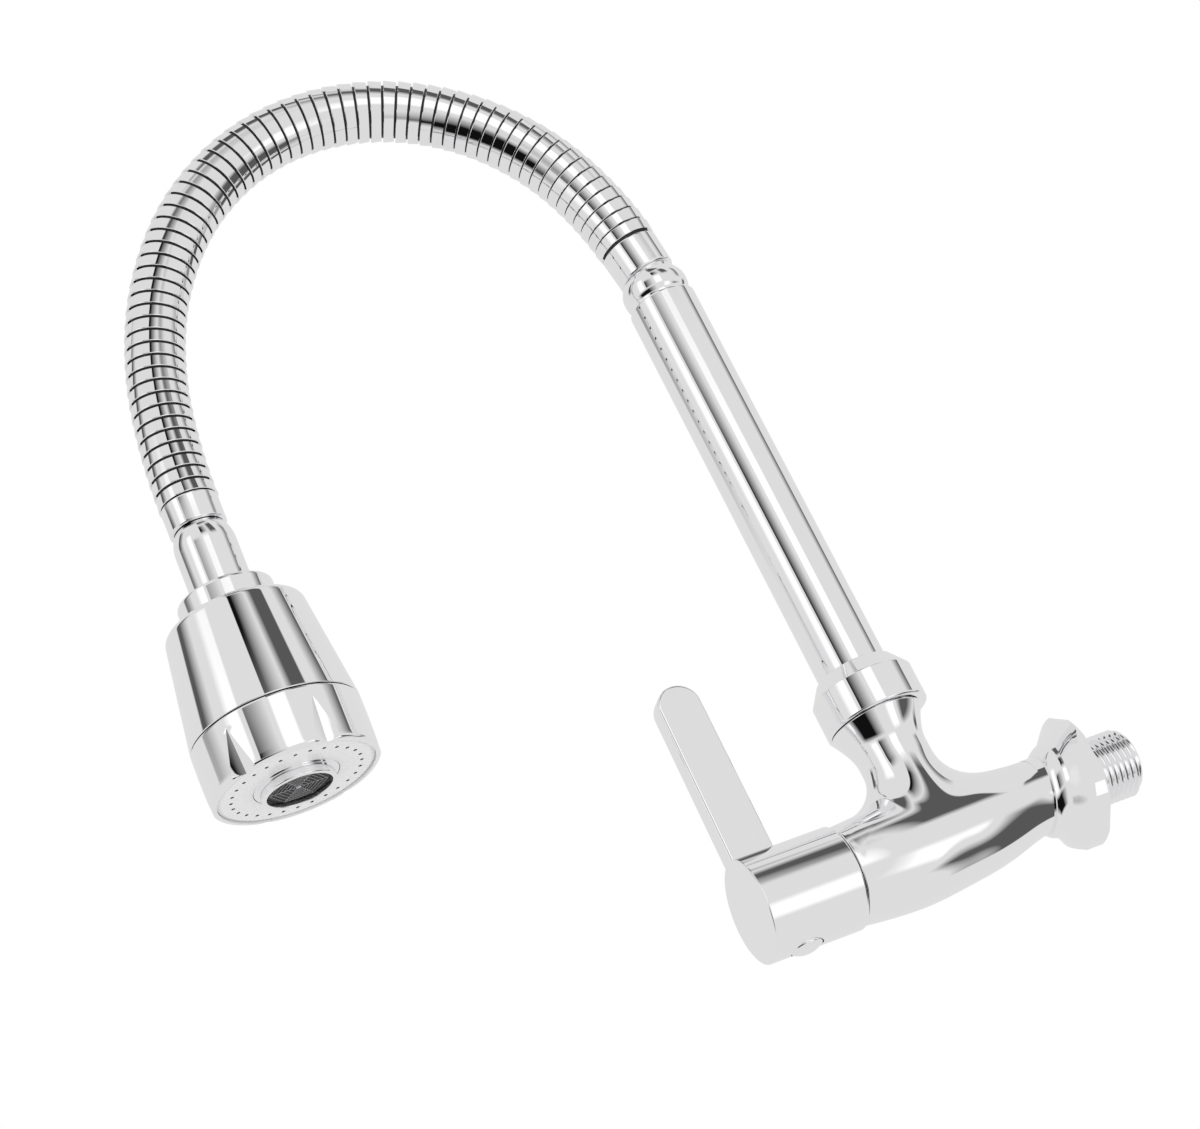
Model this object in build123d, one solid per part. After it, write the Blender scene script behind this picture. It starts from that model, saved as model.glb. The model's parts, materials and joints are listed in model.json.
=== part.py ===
from build123d import *
from math import asin, atan, cos, degrees, radians, sin, sqrt, tan
import os

# Flexible spout tap for a wall, quarter turn, with a two-mode spray head.
# All sizes are in millimetres. The origin is the centre of the inlet flange's rear face,
# +Y goes into the wall along the inlet thread, +Z is up along the riser.

# Clearances
running_clearance = 0.06
seat_clearance = 0.05
slip_clearance = 0.3
lip_clearance = 0.1

# Inlet thread, wrench flange and neck
thread_radius = 20.955 / 2
thread_length = 18.0
thread_chamfer = 1.2
inlet_bore_radius = 7.2
flange_across_flats = 37.8
flange_corner_reach = 20.7
flange_rear_chamfer = 1.8
flange_rim = 2.6
flange_lean = 9.6
cone_length = 5.4
neck_bead_radius = 14.4
neck_bead_length = 4.4
neck_radius = 11.5
neck_length = 15.5

# Cast body
riser_offset = 47.6
body_length = 80.0
chamber_drop = 3.6
body_front_radius = 14.9
belly_radius = 16.2
branch_radius = 10.8
branch_shift = 1.0
branch_fillet = 13.2
crotch_margin = 3.0
branch_waist_height = 27.0
branch_top_radius = 14.6
branch_top = 37.4
stub_radius = 13.0
stub_height = 9.4
seat_bore_radius = 5.4
seat_face = 33.5
seat_bore_length = 9.0
chamber_radius = 9.3
cartridge_thread_radius = 10.35
cartridge_thread_length = 13.0
branch_bore_radius = 6.4
spigot_bore_radius = 8.0
spigot_bore_floor = 22.0

# Riser nut
nut_radius = 16.0
nut_cylinder_height = 11.4
nut_chamfer_height = 5.4
nut_top_radius = 12.2
nut_lip_height = 3.4

# Riser
tube_radius = 10.8
tube_wall = 0.8
tube_top = 190.2
tube_edge = 0.8
spigot_flange_radius = 12.5
spigot_flange_height = 3.0
spigot_plug_length = 12.0
riser_bore_radius = 5.2
o_ring_section = 1.1
o_ring_pitch = 7.0
o_ring_foot = 5.0
slip_ring_height = 0.7

# Collar bead and lower ferrule
groove_radius = 9.5
bead_radius = 10.55
bead_height = 8.2
bead_groove = 1.0
adapter_plug_length = 10.0
adapter_neck_step = 1.4
adapter_neck_reach = 1.0
adapter_head_room = 6.0
ferrule_gap = 1.4
lower_ferrule_radius = 9.1
lower_ferrule_mouth = 9.35
lower_ferrule_length = 11.6
lower_ferrule_edge = 0.8

# Gooseneck hose
hose_swivel = 7.0
ferrule_lean = 6.3
rib_pitch = 4.375
ribs_per_section = 7
section_turns = (15.0, 20.4, 22.4, 25.7, 27.3, 22.4, 16.8, 13.2, 8.0)
rib_small_radius = 9.45
rib_large_radius = 9.8
section_swell = (1.0, 1.0, 1.0, 1.0, 1.0, 0.99, 0.975, 0.965, 0.96)
rib_groove_radius = 8.85
rib_groove_width = 0.9
rib_groove_floor = 0.3
hinge_gap_inner = 0.7
hinge_gap_outer = 2.4
hose_bore_radius = 6.6
lip_ball_radius = 8.2
lip_reach = 3.2
lip_root = 2.2
lip_bore_radius = 6.3
water_hose_radius = 5.6
water_hose_bore = 4.2
barb_wall = 1.1
barb_length = 12.0
barb_flange_height = 3.0
water_hose_tuck = 5.0

# Upper ferrule, connector and collar
upper_ferrule_radius = 8.95
upper_ferrule_length = 9.2
connector_radius = 9.55
connector_shoulder = 6.0
connector_top_radius = 7.7
connector_length = 22.9
connector_flange_radius = 11.4
connector_flange_height = 2.0
collar_radius = 14.9
collar_height = 8.4
collar_lip = 3.4
collar_skirt_length = 7.0
collar_skirt_radius = 12.9

# Spray head
housing_top_radius = 21.6
housing_top_round = 2.4
housing_length = 36.6
housing_radius = 26.2
housing_wall = 2.2
housing_neck_depth = 8.0
ring_gap = 0.4
ring_length = 18.0
ring_wall = 2.0
ring_edge = 1.2
finger_groove_count = 6
finger_groove_turn = 37.0
finger_groove_width = 9.0
finger_groove_depth = 1.7
finger_groove_start = 3.0
face_thickness = 2.4
face_border = 1.9
face_ledge = 2.0
spacer_wall = 2.0
spray_hole_count = 28
spray_hole_radius = 0.45
spray_hole_inset = 4.3
aerator_flange_radius = 13.2
aerator_radius = 11.6
aerator_bore_radius = 10.1
aerator_reach = 3.0
mesh_thickness = 1.2
mesh_recess = 2.2
core_tube_radius = 9.2
core_plate_room = 2.5
core_plate_thickness = 2.4
diverter_thickness = 2.6
diverter_port_inset = 8.5
diverter_port_radius = 2.6

# Handle
cap_gap = 0.4
cap_radius = 15.7
cap_length = 30.2
cap_rear_round = 1.1
cap_front_round = 0.35
cap_hollow_radius = 13.6
cap_hollow_depth = 12.6
lever_width = 13.3
lever_thickness = 7.4
lever_set_back = 0.9
lever_foot_set_back = 0.1
lever_top = 68.0
lever_edge = 0.4
plug_radius = 5.0
plug_rim = 0.3
plug_dome = 1.4
plug_depth = 3.2
plug_offset = 19.3
screw_radius = 2.5
screw_length = 6.5
screw_socket = 1.3

# Quarter-turn cartridge
nose_radius = 8.8
nose_end = 36.0
nose_wall = 1.6
nose_lip = 2.5
disc_radius = 6.9
disc_thickness = 3.0
disc_gap = 0.05
window_start = 46.0
window_end = 54.5
window_width = 7.5
hex_across_flats = 22.0
hex_height = 7.0
cartridge_neck_radius = 6.2
cartridge_neck_length = 4.2
spindle_radius = 4.0
spindle_bar = 4.4
spindle_bar_thickness = 2.6
spindle_seat = 12.0
spindle_flat = 3.2

# Places that follow from the sizes
body_front = -body_length
cap_rear = body_front - cap_gap
cap_front = cap_rear - cap_length
branch_offset = riser_offset + branch_shift
crotch_round = min(branch_fillet, body_length - branch_offset - branch_radius - crotch_margin)
stub_top = branch_top + stub_height
nut_bottom = branch_top + slip_clearance
nut_shoulder = nut_bottom + nut_cylinder_height
nut_top = nut_shoulder + nut_chamfer_height
flange_bottom = stub_top + slip_clearance
tube_bottom = flange_bottom + spigot_flange_height
bead_bottom = tube_top + bead_groove
bead_top = bead_bottom + bead_height
ferrule_bottom = bead_top + ferrule_gap
hinge_gap = (hinge_gap_inner + hinge_gap_outer) / 2
section_length = rib_pitch * ribs_per_section
hose_length = section_length * len(section_turns)
gap_tilt = degrees(atan((hinge_gap_outer - hinge_gap_inner) / (4 * rib_large_radius)))
lip_socket_radius = lip_ball_radius + lip_clearance
face_radius = housing_radius - face_border
spray_hole_circle = face_radius - spray_hole_inset
core_plate_radius = housing_radius - housing_wall - core_plate_room

arch = radians(hose_swivel)
forward = Vector(-sin(arch), -cos(arch), 0)
across = Vector(cos(arch), -sin(arch), 0)
up = Vector(0, 0, 1)
riser_foot = Vector(0, -riser_offset, 0)


def save(name, shape):
    """Write one node; each of its solids keeps its own identity."""
    solids = shape.solids()
    export_step(solids[0] if len(solids) == 1 else Compound(children=solids), f"parts/{name}.step")


def turned(points, place):
    """Solid of revolution: points are (radius, height) about the place's own z axis."""
    outline = Plane.XZ * Polyline(*points, close=True)
    return place * revolve(make_face(outline), Axis.Z)


def turned_edges(edges, place):
    """The same from a list of edges that close on themselves."""
    face = Plane.XZ * make_face(Curve() + edges)
    return place * revolve(face, Axis.Z)


def tube(outer, inner, low, high, place):
    """Straight tube between two heights on the place's z axis."""
    return turned([(inner, low), (outer, low), (outer, high), (inner, high)], place)


def rod(radius, low, high, place):
    """Straight rod between two heights on the place's z axis."""
    return turned([(0, low), (radius, low), (radius, high), (0, high)], place)


def o_ring(radius, height, place):
    """One rubber ring whose centre circle has the given radius."""
    section = Plane.XZ * Pos(radius, height) * Circle(o_ring_section / 2)
    return place * revolve(section, Axis.Z)


def hexagon_prism(across_flats, low, high, place, turn=0.0):
    """Hexagonal bar with a flat across the place's x axis."""
    corner = across_flats / 2 / cos(radians(30))
    sketch = Rot(0, 0, turn + 30) * RegularPolygon(corner, 6)
    return place * Pos(0, 0, low) * extrude(sketch, high - low)


def route_plane(s, z, tau):
    """Plane square to the gooseneck, s ahead of the riser and tau from upright."""
    origin = riser_foot + forward * s + up * z
    tangent = forward * sin(tau) + up * cos(tau)
    return Plane(origin=origin, x_dir=across, z_dir=tangent)


class Arc:
    """One stretch of the gooseneck: a circular arc in the arch plane."""

    def __init__(self, s, z, tau, length, turn, swell):
        self.s = s
        self.z = z
        self.tau = tau
        self.length = length
        self.turn = turn
        self.radius = length / turn
        self.swell = swell

    def place(self, distance):
        """Arch coordinates and lean at a distance along the arc."""
        angle = distance / self.radius
        s = self.s + self.radius * (cos(self.tau) - cos(self.tau + angle))
        z = self.z + self.radius * (sin(self.tau + angle) - sin(self.tau))
        return s, z, self.tau + angle

    def plane(self, distance):
        """Plane square to the arc at a distance along it."""
        return route_plane(*self.place(distance))

    def torus(self, radius):
        """Solid of the given radius round this stretch."""
        centre = self.plane(0).origin + (forward * cos(self.tau) - up * sin(self.tau)) * self.radius
        disc = self.plane(0) * Circle(radius)
        return revolve(disc, Axis(centre, across), degrees(self.turn))


def gooseneck_arcs():
    """The hose at rest: one arc a section, each starting where the last one ends."""
    arcs = []
    tau = radians(ferrule_lean)
    s = lower_ferrule_length * sin(tau)
    z = ferrule_bottom + lower_ferrule_length * cos(tau)
    for turn, swell in zip(section_turns, section_swell):
        arcs.append(Arc(s, z, tau, section_length, radians(turn), swell))
        s, z, tau = arcs[-1].place(section_length)
    return arcs


arcs = gooseneck_arcs()
hose_end_plane = arcs[-1].plane(section_length)
on_riser = Location(riser_foot)
ferrule_plane = route_plane(0, ferrule_bottom, radians(ferrule_lean))
on_ferrule = ferrule_plane.location
on_branch = Location((0, -riser_offset - branch_shift, 0))
on_inlet = Plane(origin=(0, 0, 0), x_dir=(1, 0, 0), z_dir=(0, -1, 0)).location
on_chamber = Plane(origin=(0, 0, -chamber_drop), x_dir=(1, 0, 0), z_dir=(0, -1, 0)).location
on_head = hose_end_plane.location

# Heights along the head's own axis, counted from the last hose joint
connector_start = upper_ferrule_length + 0.2
collar_start = connector_start + connector_length
collar_end = collar_start + collar_height
housing_start = collar_end
housing_end = housing_start + housing_length
ring_start = housing_end + ring_gap
ring_end = ring_start + ring_length
face_low = ring_end - face_thickness - 0.3
face_high = ring_end - 0.3


def leaning_plane(distance, drop):
    """Plane across the neck; it leans back at the top, as the casting's collar does."""
    normal = Vector(0, -1, 0).rotate(Axis.X, -flange_lean)
    return Plane(origin=(0, -distance, -drop), x_dir=(1, 0, 0), z_dir=normal)


def inlet_flange():
    """Hexagonal wrench flange with cut corners, its hollow cone and the bead on the neck."""
    reach = flange_corner_reach + 0.6
    flat_reach = flange_across_flats / 2
    cone_end = flange_rim + cone_length
    bead_end = cone_end + neck_bead_length
    block = loft([leaning_plane(-8, 0) * Circle(reach), leaning_plane(flange_rim, 0) * Circle(reach)])
    cone = loft(
        [
            leaning_plane(flange_rim, 0) * Circle(reach),
            leaning_plane(flange_rim + 0.3 * cone_length, 0) * Circle(flat_reach),
            leaning_plane(flange_rim + 0.65 * cone_length, 0.1) * Circle(neck_bead_radius + 2.2),
            leaning_plane(cone_end, 0.3) * Circle(neck_bead_radius),
        ]
    )
    bead = loft(
        [
            leaning_plane(cone_end, 0.3) * Circle(neck_bead_radius),
            leaning_plane(cone_end + 0.5 * neck_bead_length, 0.5) * Circle(neck_bead_radius - 0.7),
            leaning_plane(bead_end, 0.8) * Circle(neck_radius + 0.6),
        ]
    )
    rear = turned(
        [
            (0, 0),
            (flange_corner_reach - 0.5 * flange_rear_chamfer, 0),
            (flange_corner_reach + 0.5 * flange_rear_chamfer, flange_rear_chamfer),
            (flange_corner_reach + 0.5 * flange_rear_chamfer, neck_length + 4),
            (0, neck_length + 4),
        ],
        on_inlet,
    )
    flats = hexagon_prism(flange_across_flats, 0, neck_length + 4, on_inlet)
    corners = hexagon_prism(2 * flange_corner_reach, 0, neck_length + 4, on_inlet, turn=30)
    return (block + cone + bead) & rear & flats & corners


def body_barrel():
    """The swelling barrel from the neck to the front, a smooth loft of circles."""
    stretch = body_length - neck_length
    stations = (
        (-0.12, neck_radius - 0.4, 0.4),
        (0.0, neck_radius - 0.1, 0.9),
        (0.15, neck_radius + 1.5, 1.9),
        (0.30, belly_radius - 1.6, 2.5),
        (0.45, belly_radius - 0.8, 3.0),
        (0.62, belly_radius - 0.1, chamber_drop - 0.1),
        (0.80, belly_radius - 0.3, chamber_drop + 0.1),
        (1.0, body_front_radius, chamber_drop),
    )
    circles = []
    for share, radius, drop in stations:
        place = Plane(origin=(0, -neck_length - share * stretch, -drop), x_dir=(1, 0, 0), z_dir=(0, -1, 0))
        circles.append(place * Circle(radius))
    return loft(circles)


def body_branch():
    """The upright branch: a waist that flares out under the riser nut, a little forward of it."""
    flare = Spline(
        (branch_radius, branch_waist_height),
        (branch_radius + 1.3, branch_waist_height + 0.5 * (branch_top - branch_waist_height)),
        (branch_top_radius, branch_top),
        tangents=((0, 1), (0.45, 1)),
    )
    outline = [
        Line((0, 0), (branch_radius, 0)),
        Line((branch_radius, 0), (branch_radius, branch_waist_height)),
        flare,
        Line((branch_top_radius, branch_top), (0, branch_top)),
        Line((0, branch_top), (0, 0)),
    ]
    return turned_edges(outline, on_branch)


def crotch_edges(shape):
    """Edges where the branch meets the barrel: every point lies on the branch's own wall."""
    found = []
    for edge in shape.edges():
        points = [edge @ (i / 8) for i in range(9)]
        reach = [sqrt(p.X**2 + (p.Y + branch_offset) ** 2) for p in points]
        height = max(p.Z for p in points)
        if max(abs(r - branch_radius) for r in reach) < 0.05 and height < branch_waist_height - 1:
            found.append(edge)
    return found


def valve_body():
    """Chromed brass casting: inlet, flange, barrel and branch, with its waterways."""
    outside = body_barrel() + body_branch()
    outside = fillet(crotch_edges(outside), crotch_round)
    outside = outside + inlet_flange() + rod(stub_radius, branch_top - 1, stub_top, on_riser)
    spigot = turned(
        [
            (0, -thread_length),
            (thread_radius - thread_chamfer, -thread_length),
            (thread_radius, thread_chamfer - thread_length),
            (thread_radius, 0.5),
            (0, 0.5),
        ],
        on_inlet,
    )
    seat_start = seat_face - seat_bore_length
    waterways = [
        rod(inlet_bore_radius, -thread_length - 1, seat_start + 2.5, on_inlet),
        rod(seat_bore_radius, seat_start, seat_face + 1, on_chamber),
        rod(chamber_radius, seat_face, body_length + 1, on_chamber),
        rod(
            cartridge_thread_radius,
            body_length - cartridge_thread_length - 3,
            body_length + 1,
            on_chamber,
        ),
        rod(branch_bore_radius, -chamber_drop, spigot_bore_floor + 1, on_riser),
        rod(spigot_bore_radius, spigot_bore_floor, stub_top + 1, on_riser),
    ]
    return outside + spigot - waterways


def riser_nut():
    """Round nut that holds the riser down on the branch and lets it swivel."""
    thread = stub_radius + seat_clearance
    hole = tube_radius + slip_clearance
    lip_bottom = nut_top - nut_lip_height
    return turned(
        [
            (thread, nut_bottom),
            (nut_radius - 0.8, nut_bottom),
            (nut_radius, nut_bottom + 0.8),
            (nut_radius, nut_shoulder),
            (nut_top_radius, nut_top),
            (hole, nut_top),
            (hole, lip_bottom),
            (thread, lip_bottom),
        ],
        on_riser,
    )


def riser_spigot():
    """Turned foot of the riser: it plugs the tube and turns in the branch on two O-rings."""
    foot = spigot_bore_radius - running_clearance
    plug = tube_radius - tube_wall - seat_clearance
    outer = [
        (riser_bore_radius, spigot_bore_floor + 0.5),
        (foot, spigot_bore_floor + 0.5),
        (foot, flange_bottom),
        (spigot_flange_radius, flange_bottom),
        (spigot_flange_radius, tube_bottom),
        (plug, tube_bottom),
        (plug, tube_bottom + spigot_plug_length),
        (riser_bore_radius, tube_bottom + spigot_plug_length),
    ]
    spigot = turned(outer, on_riser)
    for height in o_ring_heights():
        groove_floor = foot - o_ring_section
        half = o_ring_section / 2 + 0.1
        spigot -= tube(foot + 1, groove_floor, height - half, height + half, on_riser)
    return spigot


def o_ring_heights():
    """Heights of the two rings on the riser's foot."""
    first = spigot_bore_floor + o_ring_foot
    return first, first + o_ring_pitch


def riser_tube():
    """Long plain tube of the spout, with a rounded top edge."""
    shell = tube(tube_radius, tube_radius - tube_wall, tube_bottom, tube_top, on_riser)
    rim = shell.edges().filter_by(GeomType.CIRCLE).group_by(Axis.Z)[-1].sort_by(SortBy.RADIUS)[-1]
    return fillet(rim, min(tube_edge, 0.95 * tube_wall))


def collar_adapter():
    """Turned top of the riser: a plug in the tube and the rounded bead above it."""
    plug = tube_radius - tube_wall - seat_clearance
    bore = riser_bore_radius
    plug_bottom = tube_top - adapter_plug_length
    neck = groove_radius - adapter_neck_step
    neck_top = ferrule_bottom + adapter_neck_reach
    belly = Spline(
        (groove_radius, bead_bottom),
        (bead_radius, bead_bottom + 0.42 * bead_height),
        (groove_radius - 0.4, bead_top),
        tangents=((1, 0.6), (-1, 0.8)),
    )
    outline = [
        Line((bore, plug_bottom), (plug, plug_bottom)),
        Line((plug, plug_bottom), (plug, tube_top)),
        Line((plug, tube_top), (groove_radius, tube_top)),
        Line((groove_radius, tube_top), (groove_radius, bead_bottom)),
        belly,
        Line((groove_radius - 0.4, bead_top), (neck, bead_top)),
        Line((neck, bead_top), (neck, neck_top)),
        Line((neck, neck_top), (bore, neck_top)),
        Line((bore, neck_top), (bore, plug_bottom)),
    ]
    return turned_edges(outline, on_riser) - rod(bead_radius, 0, adapter_head_room, on_ferrule)


def lip(plane):
    """Ball-shaped lip that reaches over a hose joint into the next piece."""
    low = -lip_root
    outline = [
        Line((lip_bore_radius, low), (sqrt(lip_ball_radius**2 - lip_root**2), low)),
        ThreePointArc(
            (sqrt(lip_ball_radius**2 - lip_root**2), low),
            (lip_ball_radius, 0),
            (sqrt(lip_ball_radius**2 - lip_reach**2), lip_reach),
        ),
        Line((sqrt(lip_ball_radius**2 - lip_reach**2), lip_reach), (lip_bore_radius, lip_reach)),
        Line((lip_bore_radius, lip_reach), (lip_bore_radius, low)),
    ]
    return turned_edges(outline, plane.location)


def socket(plane):
    """Ball-shaped room for the neighbour's lip."""
    return plane.location * Sphere(lip_socket_radius)


def gap_plane(plane, side):
    """End plane of a piece at a hose joint; the gap is wider on the outside of the bend."""
    moved = plane.origin + plane.z_dir * (side * hinge_gap / 2)
    # The outside of the bend lies away from the arc's centre, towards plus y of the plane.
    lean = side * gap_tilt
    tilted = plane.z_dir.rotate(Axis((0, 0, 0), across), lean)
    return Plane(origin=moved, x_dir=across, z_dir=tilted)


def hose_section(arc):
    """A run of overlapping bands: each rib is a short cone with a groove on both sides."""
    half_groove = rib_groove_width / 2
    small, large, groove = (arc.swell * r for r in (rib_small_radius, rib_large_radius, rib_groove_radius))
    circles = [gap_plane(arc.plane(0), 1) * Circle(small)]
    for rib in range(1, ribs_per_section):
        middle = rib * rib_pitch
        circles.append(arc.plane(middle - half_groove) * Circle(large))
        circles.append(arc.plane(middle - rib_groove_floor / 2) * Circle(groove))
        circles.append(arc.plane(middle + rib_groove_floor / 2) * Circle(groove))
        circles.append(arc.plane(middle + half_groove) * Circle(small))
    circles.append(gap_plane(arc.plane(section_length), -1) * Circle(large))
    outside = loft(circles, ruled=True)
    section = outside - arc.torus(hose_bore_radius) - socket(arc.plane(0))
    return section + lip(arc.plane(section_length))


def lower_ferrule():
    """Crimped sleeve on the adapter's leaning seat, up to the first hose joint."""
    start = arcs[0].plane(0)
    sleeve = loft(
        [
            ferrule_plane * Circle(lower_ferrule_radius),
            gap_plane(start, -1) * Circle(lower_ferrule_mouth),
        ],
        ruled=True,
    )
    rim = sleeve.edges().filter_by(GeomType.CIRCLE).sort_by(Axis.Z)[0]
    sleeve = fillet(rim, lower_ferrule_edge)
    sleeve -= rod(hose_bore_radius, -1, lower_ferrule_length + 1, on_ferrule)
    return sleeve + lip(start)


def upper_ferrule():
    """Crimped sleeve between the last hose joint and the connector."""
    end = Plane(origin=hose_end_plane.origin, x_dir=across, z_dir=hose_end_plane.z_dir)
    sleeve = loft(
        [
            gap_plane(end, 1) * Circle(upper_ferrule_radius),
            Plane(
                origin=end.origin + end.z_dir * upper_ferrule_length,
                x_dir=across,
                z_dir=end.z_dir,
            )
            * Circle(upper_ferrule_radius),
        ],
        ruled=True,
    )
    return sleeve - rod(hose_bore_radius, -1, upper_ferrule_length + 1, on_head) - socket(end)


def water_hose():
    """Soft tube that carries the water through the gooseneck."""
    end = connector_start + water_hose_tuck
    pieces = []
    for radius in (water_hose_radius, water_hose_bore):
        run = rod(radius, barb_flange_height, lower_ferrule_length, on_ferrule)
        for arc in arcs:
            run += arc.torus(radius)
        run += rod(radius, 0, end, on_head)
        pieces.append(run)
    return pieces[0] - pieces[1]


def barb(place, flange_end, tip, flange_radius):
    """Brass insert that the water hose is pushed over; the hose's end rests on its flange."""
    outer = water_hose_bore - seat_clearance
    inner = outer - barb_wall
    inward = 1 if tip > flange_end else -1
    shoulder = flange_end + inward * barb_flange_height
    return turned(
        [
            (inner, flange_end),
            (flange_radius, flange_end),
            (flange_radius, shoulder),
            (outer, shoulder),
            (outer, tip - inward * 1.0),
            (outer - 0.5, tip),
            (inner, tip),
        ],
        place,
    )


def lower_barb():
    """Insert at the riser end; its flange lies on the adapter's seat, inside the ferrule."""
    return barb(on_ferrule, 0, lower_ferrule_length - 2.0, hose_bore_radius - seat_clearance)


def upper_barb():
    """Insert at the spray head's end, in the connector's bore."""
    high = connector_start + 5.0 + barb_flange_height
    return barb(on_head, high, high - barb_flange_height - barb_length, water_hose_radius - seat_clearance)


def head_connector():
    """Ball-shouldered neck that the spray head turns on."""
    low = connector_start
    bore = water_hose_radius + seat_clearance
    flange_low = collar_start + collar_lip + slip_clearance
    flange_high = flange_low + connector_flange_height
    foot = flange_high + 5.0
    stem = connector_radius - 1.6
    shoulder = Spline(
        (connector_top_radius, low),
        (connector_radius - 0.45, low + 0.5 * connector_shoulder),
        (connector_radius, low + connector_shoulder),
        tangents=((1, 0.5), (0, 1)),
    )
    outline = [
        Line((bore, low), (connector_top_radius, low)),
        shoulder,
        Line((connector_radius, low + connector_shoulder), (connector_radius, flange_low)),
        Line((connector_radius, flange_low), (connector_flange_radius, flange_low)),
        Line((connector_flange_radius, flange_low), (connector_flange_radius, flange_high)),
        Line((connector_flange_radius, flange_high), (stem, flange_high)),
        Line((stem, flange_high), (stem, foot)),
        Line((stem, foot), (riser_bore_radius, foot)),
        Line((riser_bore_radius, foot), (riser_bore_radius, low + 5.0 + barb_flange_height)),
        Line((riser_bore_radius, low + 5.0 + barb_flange_height), (bore, low + 5.0 + barb_flange_height)),
        Line((bore, low + 5.0 + barb_flange_height), (bore, low)),
    ]
    half = o_ring_section / 2 + 0.1
    ring = head_o_ring_height()
    groove = tube(stem + 1, stem - o_ring_section, ring - half, ring + half, on_head)
    return turned_edges(outline, on_head) - groove


def head_collar():
    """Ring nut that traps the connector's flange and screws into the housing."""
    low = collar_start
    cavity = connector_flange_radius + slip_clearance
    hole = connector_radius + slip_clearance
    edge = 0.9
    return turned(
        [
            (hole, low),
            (collar_radius - edge, low),
            (collar_radius, low + edge),
            (collar_radius, collar_end),
            (collar_skirt_radius, collar_end),
            (collar_skirt_radius, collar_end + collar_skirt_length),
            (cavity, collar_end + collar_skirt_length),
            (cavity, low + collar_lip),
            (hole, low + collar_lip),
        ],
        on_head,
    )


def head_housing():
    """Tapered shell of the spray head, with a rounded shoulder and an open bottom."""
    low = housing_start
    high = housing_end
    neck = collar_skirt_radius + seat_clearance
    neck_floor = low + housing_neck_depth
    flat = housing_top_radius - housing_top_round
    inner_top = housing_top_radius - housing_wall
    inner_low = housing_radius - housing_wall
    outline = [
        Line((neck, low), (flat, low)),
        ThreePointArc(
            (flat, low),
            (flat + 0.72 * housing_top_round, low + 0.28 * housing_top_round),
            (housing_top_radius, low + housing_top_round),
        ),
        Line((housing_top_radius, low + housing_top_round), (housing_radius, high)),
        Line((housing_radius, high), (inner_low, high)),
        Line((inner_low, high), (inner_top, neck_floor)),
        Line((inner_top, neck_floor), (neck, neck_floor)),
        Line((neck, neck_floor), (neck, low)),
    ]
    return turned_edges(outline, on_head)


def flow_core():
    """Plastic core that leads the water from the connector to the two outlets."""
    top = collar_end + collar_skirt_length + 0.3
    foot = collar_start + collar_lip + slip_clearance + connector_flange_height + 5.0
    plate_high = housing_end - 0.3
    plate_low = plate_high - core_plate_thickness
    bore = core_tube_radius - 1.8
    stem_room = connector_radius - 1.6 + slip_clearance
    return turned(
        [
            (stem_room, top),
            (collar_skirt_radius - 0.4, top),
            (collar_skirt_radius - 0.4, top + 2.5),
            (core_tube_radius + 0.4, foot + 5.0),
            (core_tube_radius + 0.4, plate_low),
            (core_plate_radius, plate_low),
            (core_plate_radius, plate_high),
            (bore, plate_high),
            (bore, foot + 5.0),
            (stem_room, foot + 1.0),
        ],
        on_head,
    )


def head_o_ring_height():
    """Height of the ring that seals the connector in the core."""
    return collar_start + collar_lip + slip_clearance + connector_flange_height + 2.2


def finger_grooves():
    """Six V-shaped grooves that start in a point and deepen towards the face."""
    grooves = []
    start = ring_start + finger_groove_start
    run = ring_end + 2.0 - start
    half = finger_groove_width / 2 * run / (ring_end - start)
    depth = finger_groove_depth * run / (ring_end - start)
    over = 3.0
    for number in range(finger_groove_count):
        around = finger_groove_turn + number * 360 / finger_groove_count
        turn = Rot(0, 0, around)
        tip = Vertex(housing_radius, 0, start)
        base = Plane(origin=(housing_radius, 0, ring_end + 2.0), x_dir=(1, 0, 0), z_dir=(0, 0, 1))
        slope = half / depth
        triangle = base * make_face(
            Polyline((-depth, 0), (over, (depth + over) * slope), (over, -(depth + over) * slope), close=True)
        )
        top = Plane(origin=(housing_radius, 0, start), x_dir=(1, 0, 0), z_dir=(0, 0, 1))
        small = top * make_face(
            Polyline((0, 0), (over, over * slope), (over, -over * slope), close=True)
        )
        grooves.append(on_head * turn * loft([small, triangle], ruled=True))
    return grooves


def twist_ring():
    """Outer ring of the spray head; turning it changes the jet."""
    inner = housing_radius - ring_wall
    lip_low = face_low - 0.2 - 1.6
    outline = [
        (inner, ring_start),
        (housing_radius, ring_start),
        (housing_radius, ring_end - ring_edge),
        (housing_radius - 0.35 * ring_edge, ring_end - 0.35 * ring_edge),
        (housing_radius - ring_edge, ring_end),
        (face_radius + seat_clearance, ring_end),
        (face_radius + seat_clearance, face_low - 0.2),
        (face_radius - face_ledge, face_low - 0.2),
        (face_radius - face_ledge, lip_low),
        (inner, lip_low),
    ]
    return turned(outline, on_head) - finger_grooves()


def spray_face():
    """Face plate with its circle of spray holes."""
    plate = tube(face_radius, aerator_flange_radius + seat_clearance, face_low, face_high, on_head)
    holes = []
    for number in range(spray_hole_count):
        around = Rot(0, 0, number * 360 / spray_hole_count)
        hole = Pos(spray_hole_circle, 0, (face_low + face_high) / 2) * Cylinder(
            spray_hole_radius, 2 * face_thickness
        )
        holes.append(on_head * around * hole)
    return plate - holes


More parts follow.
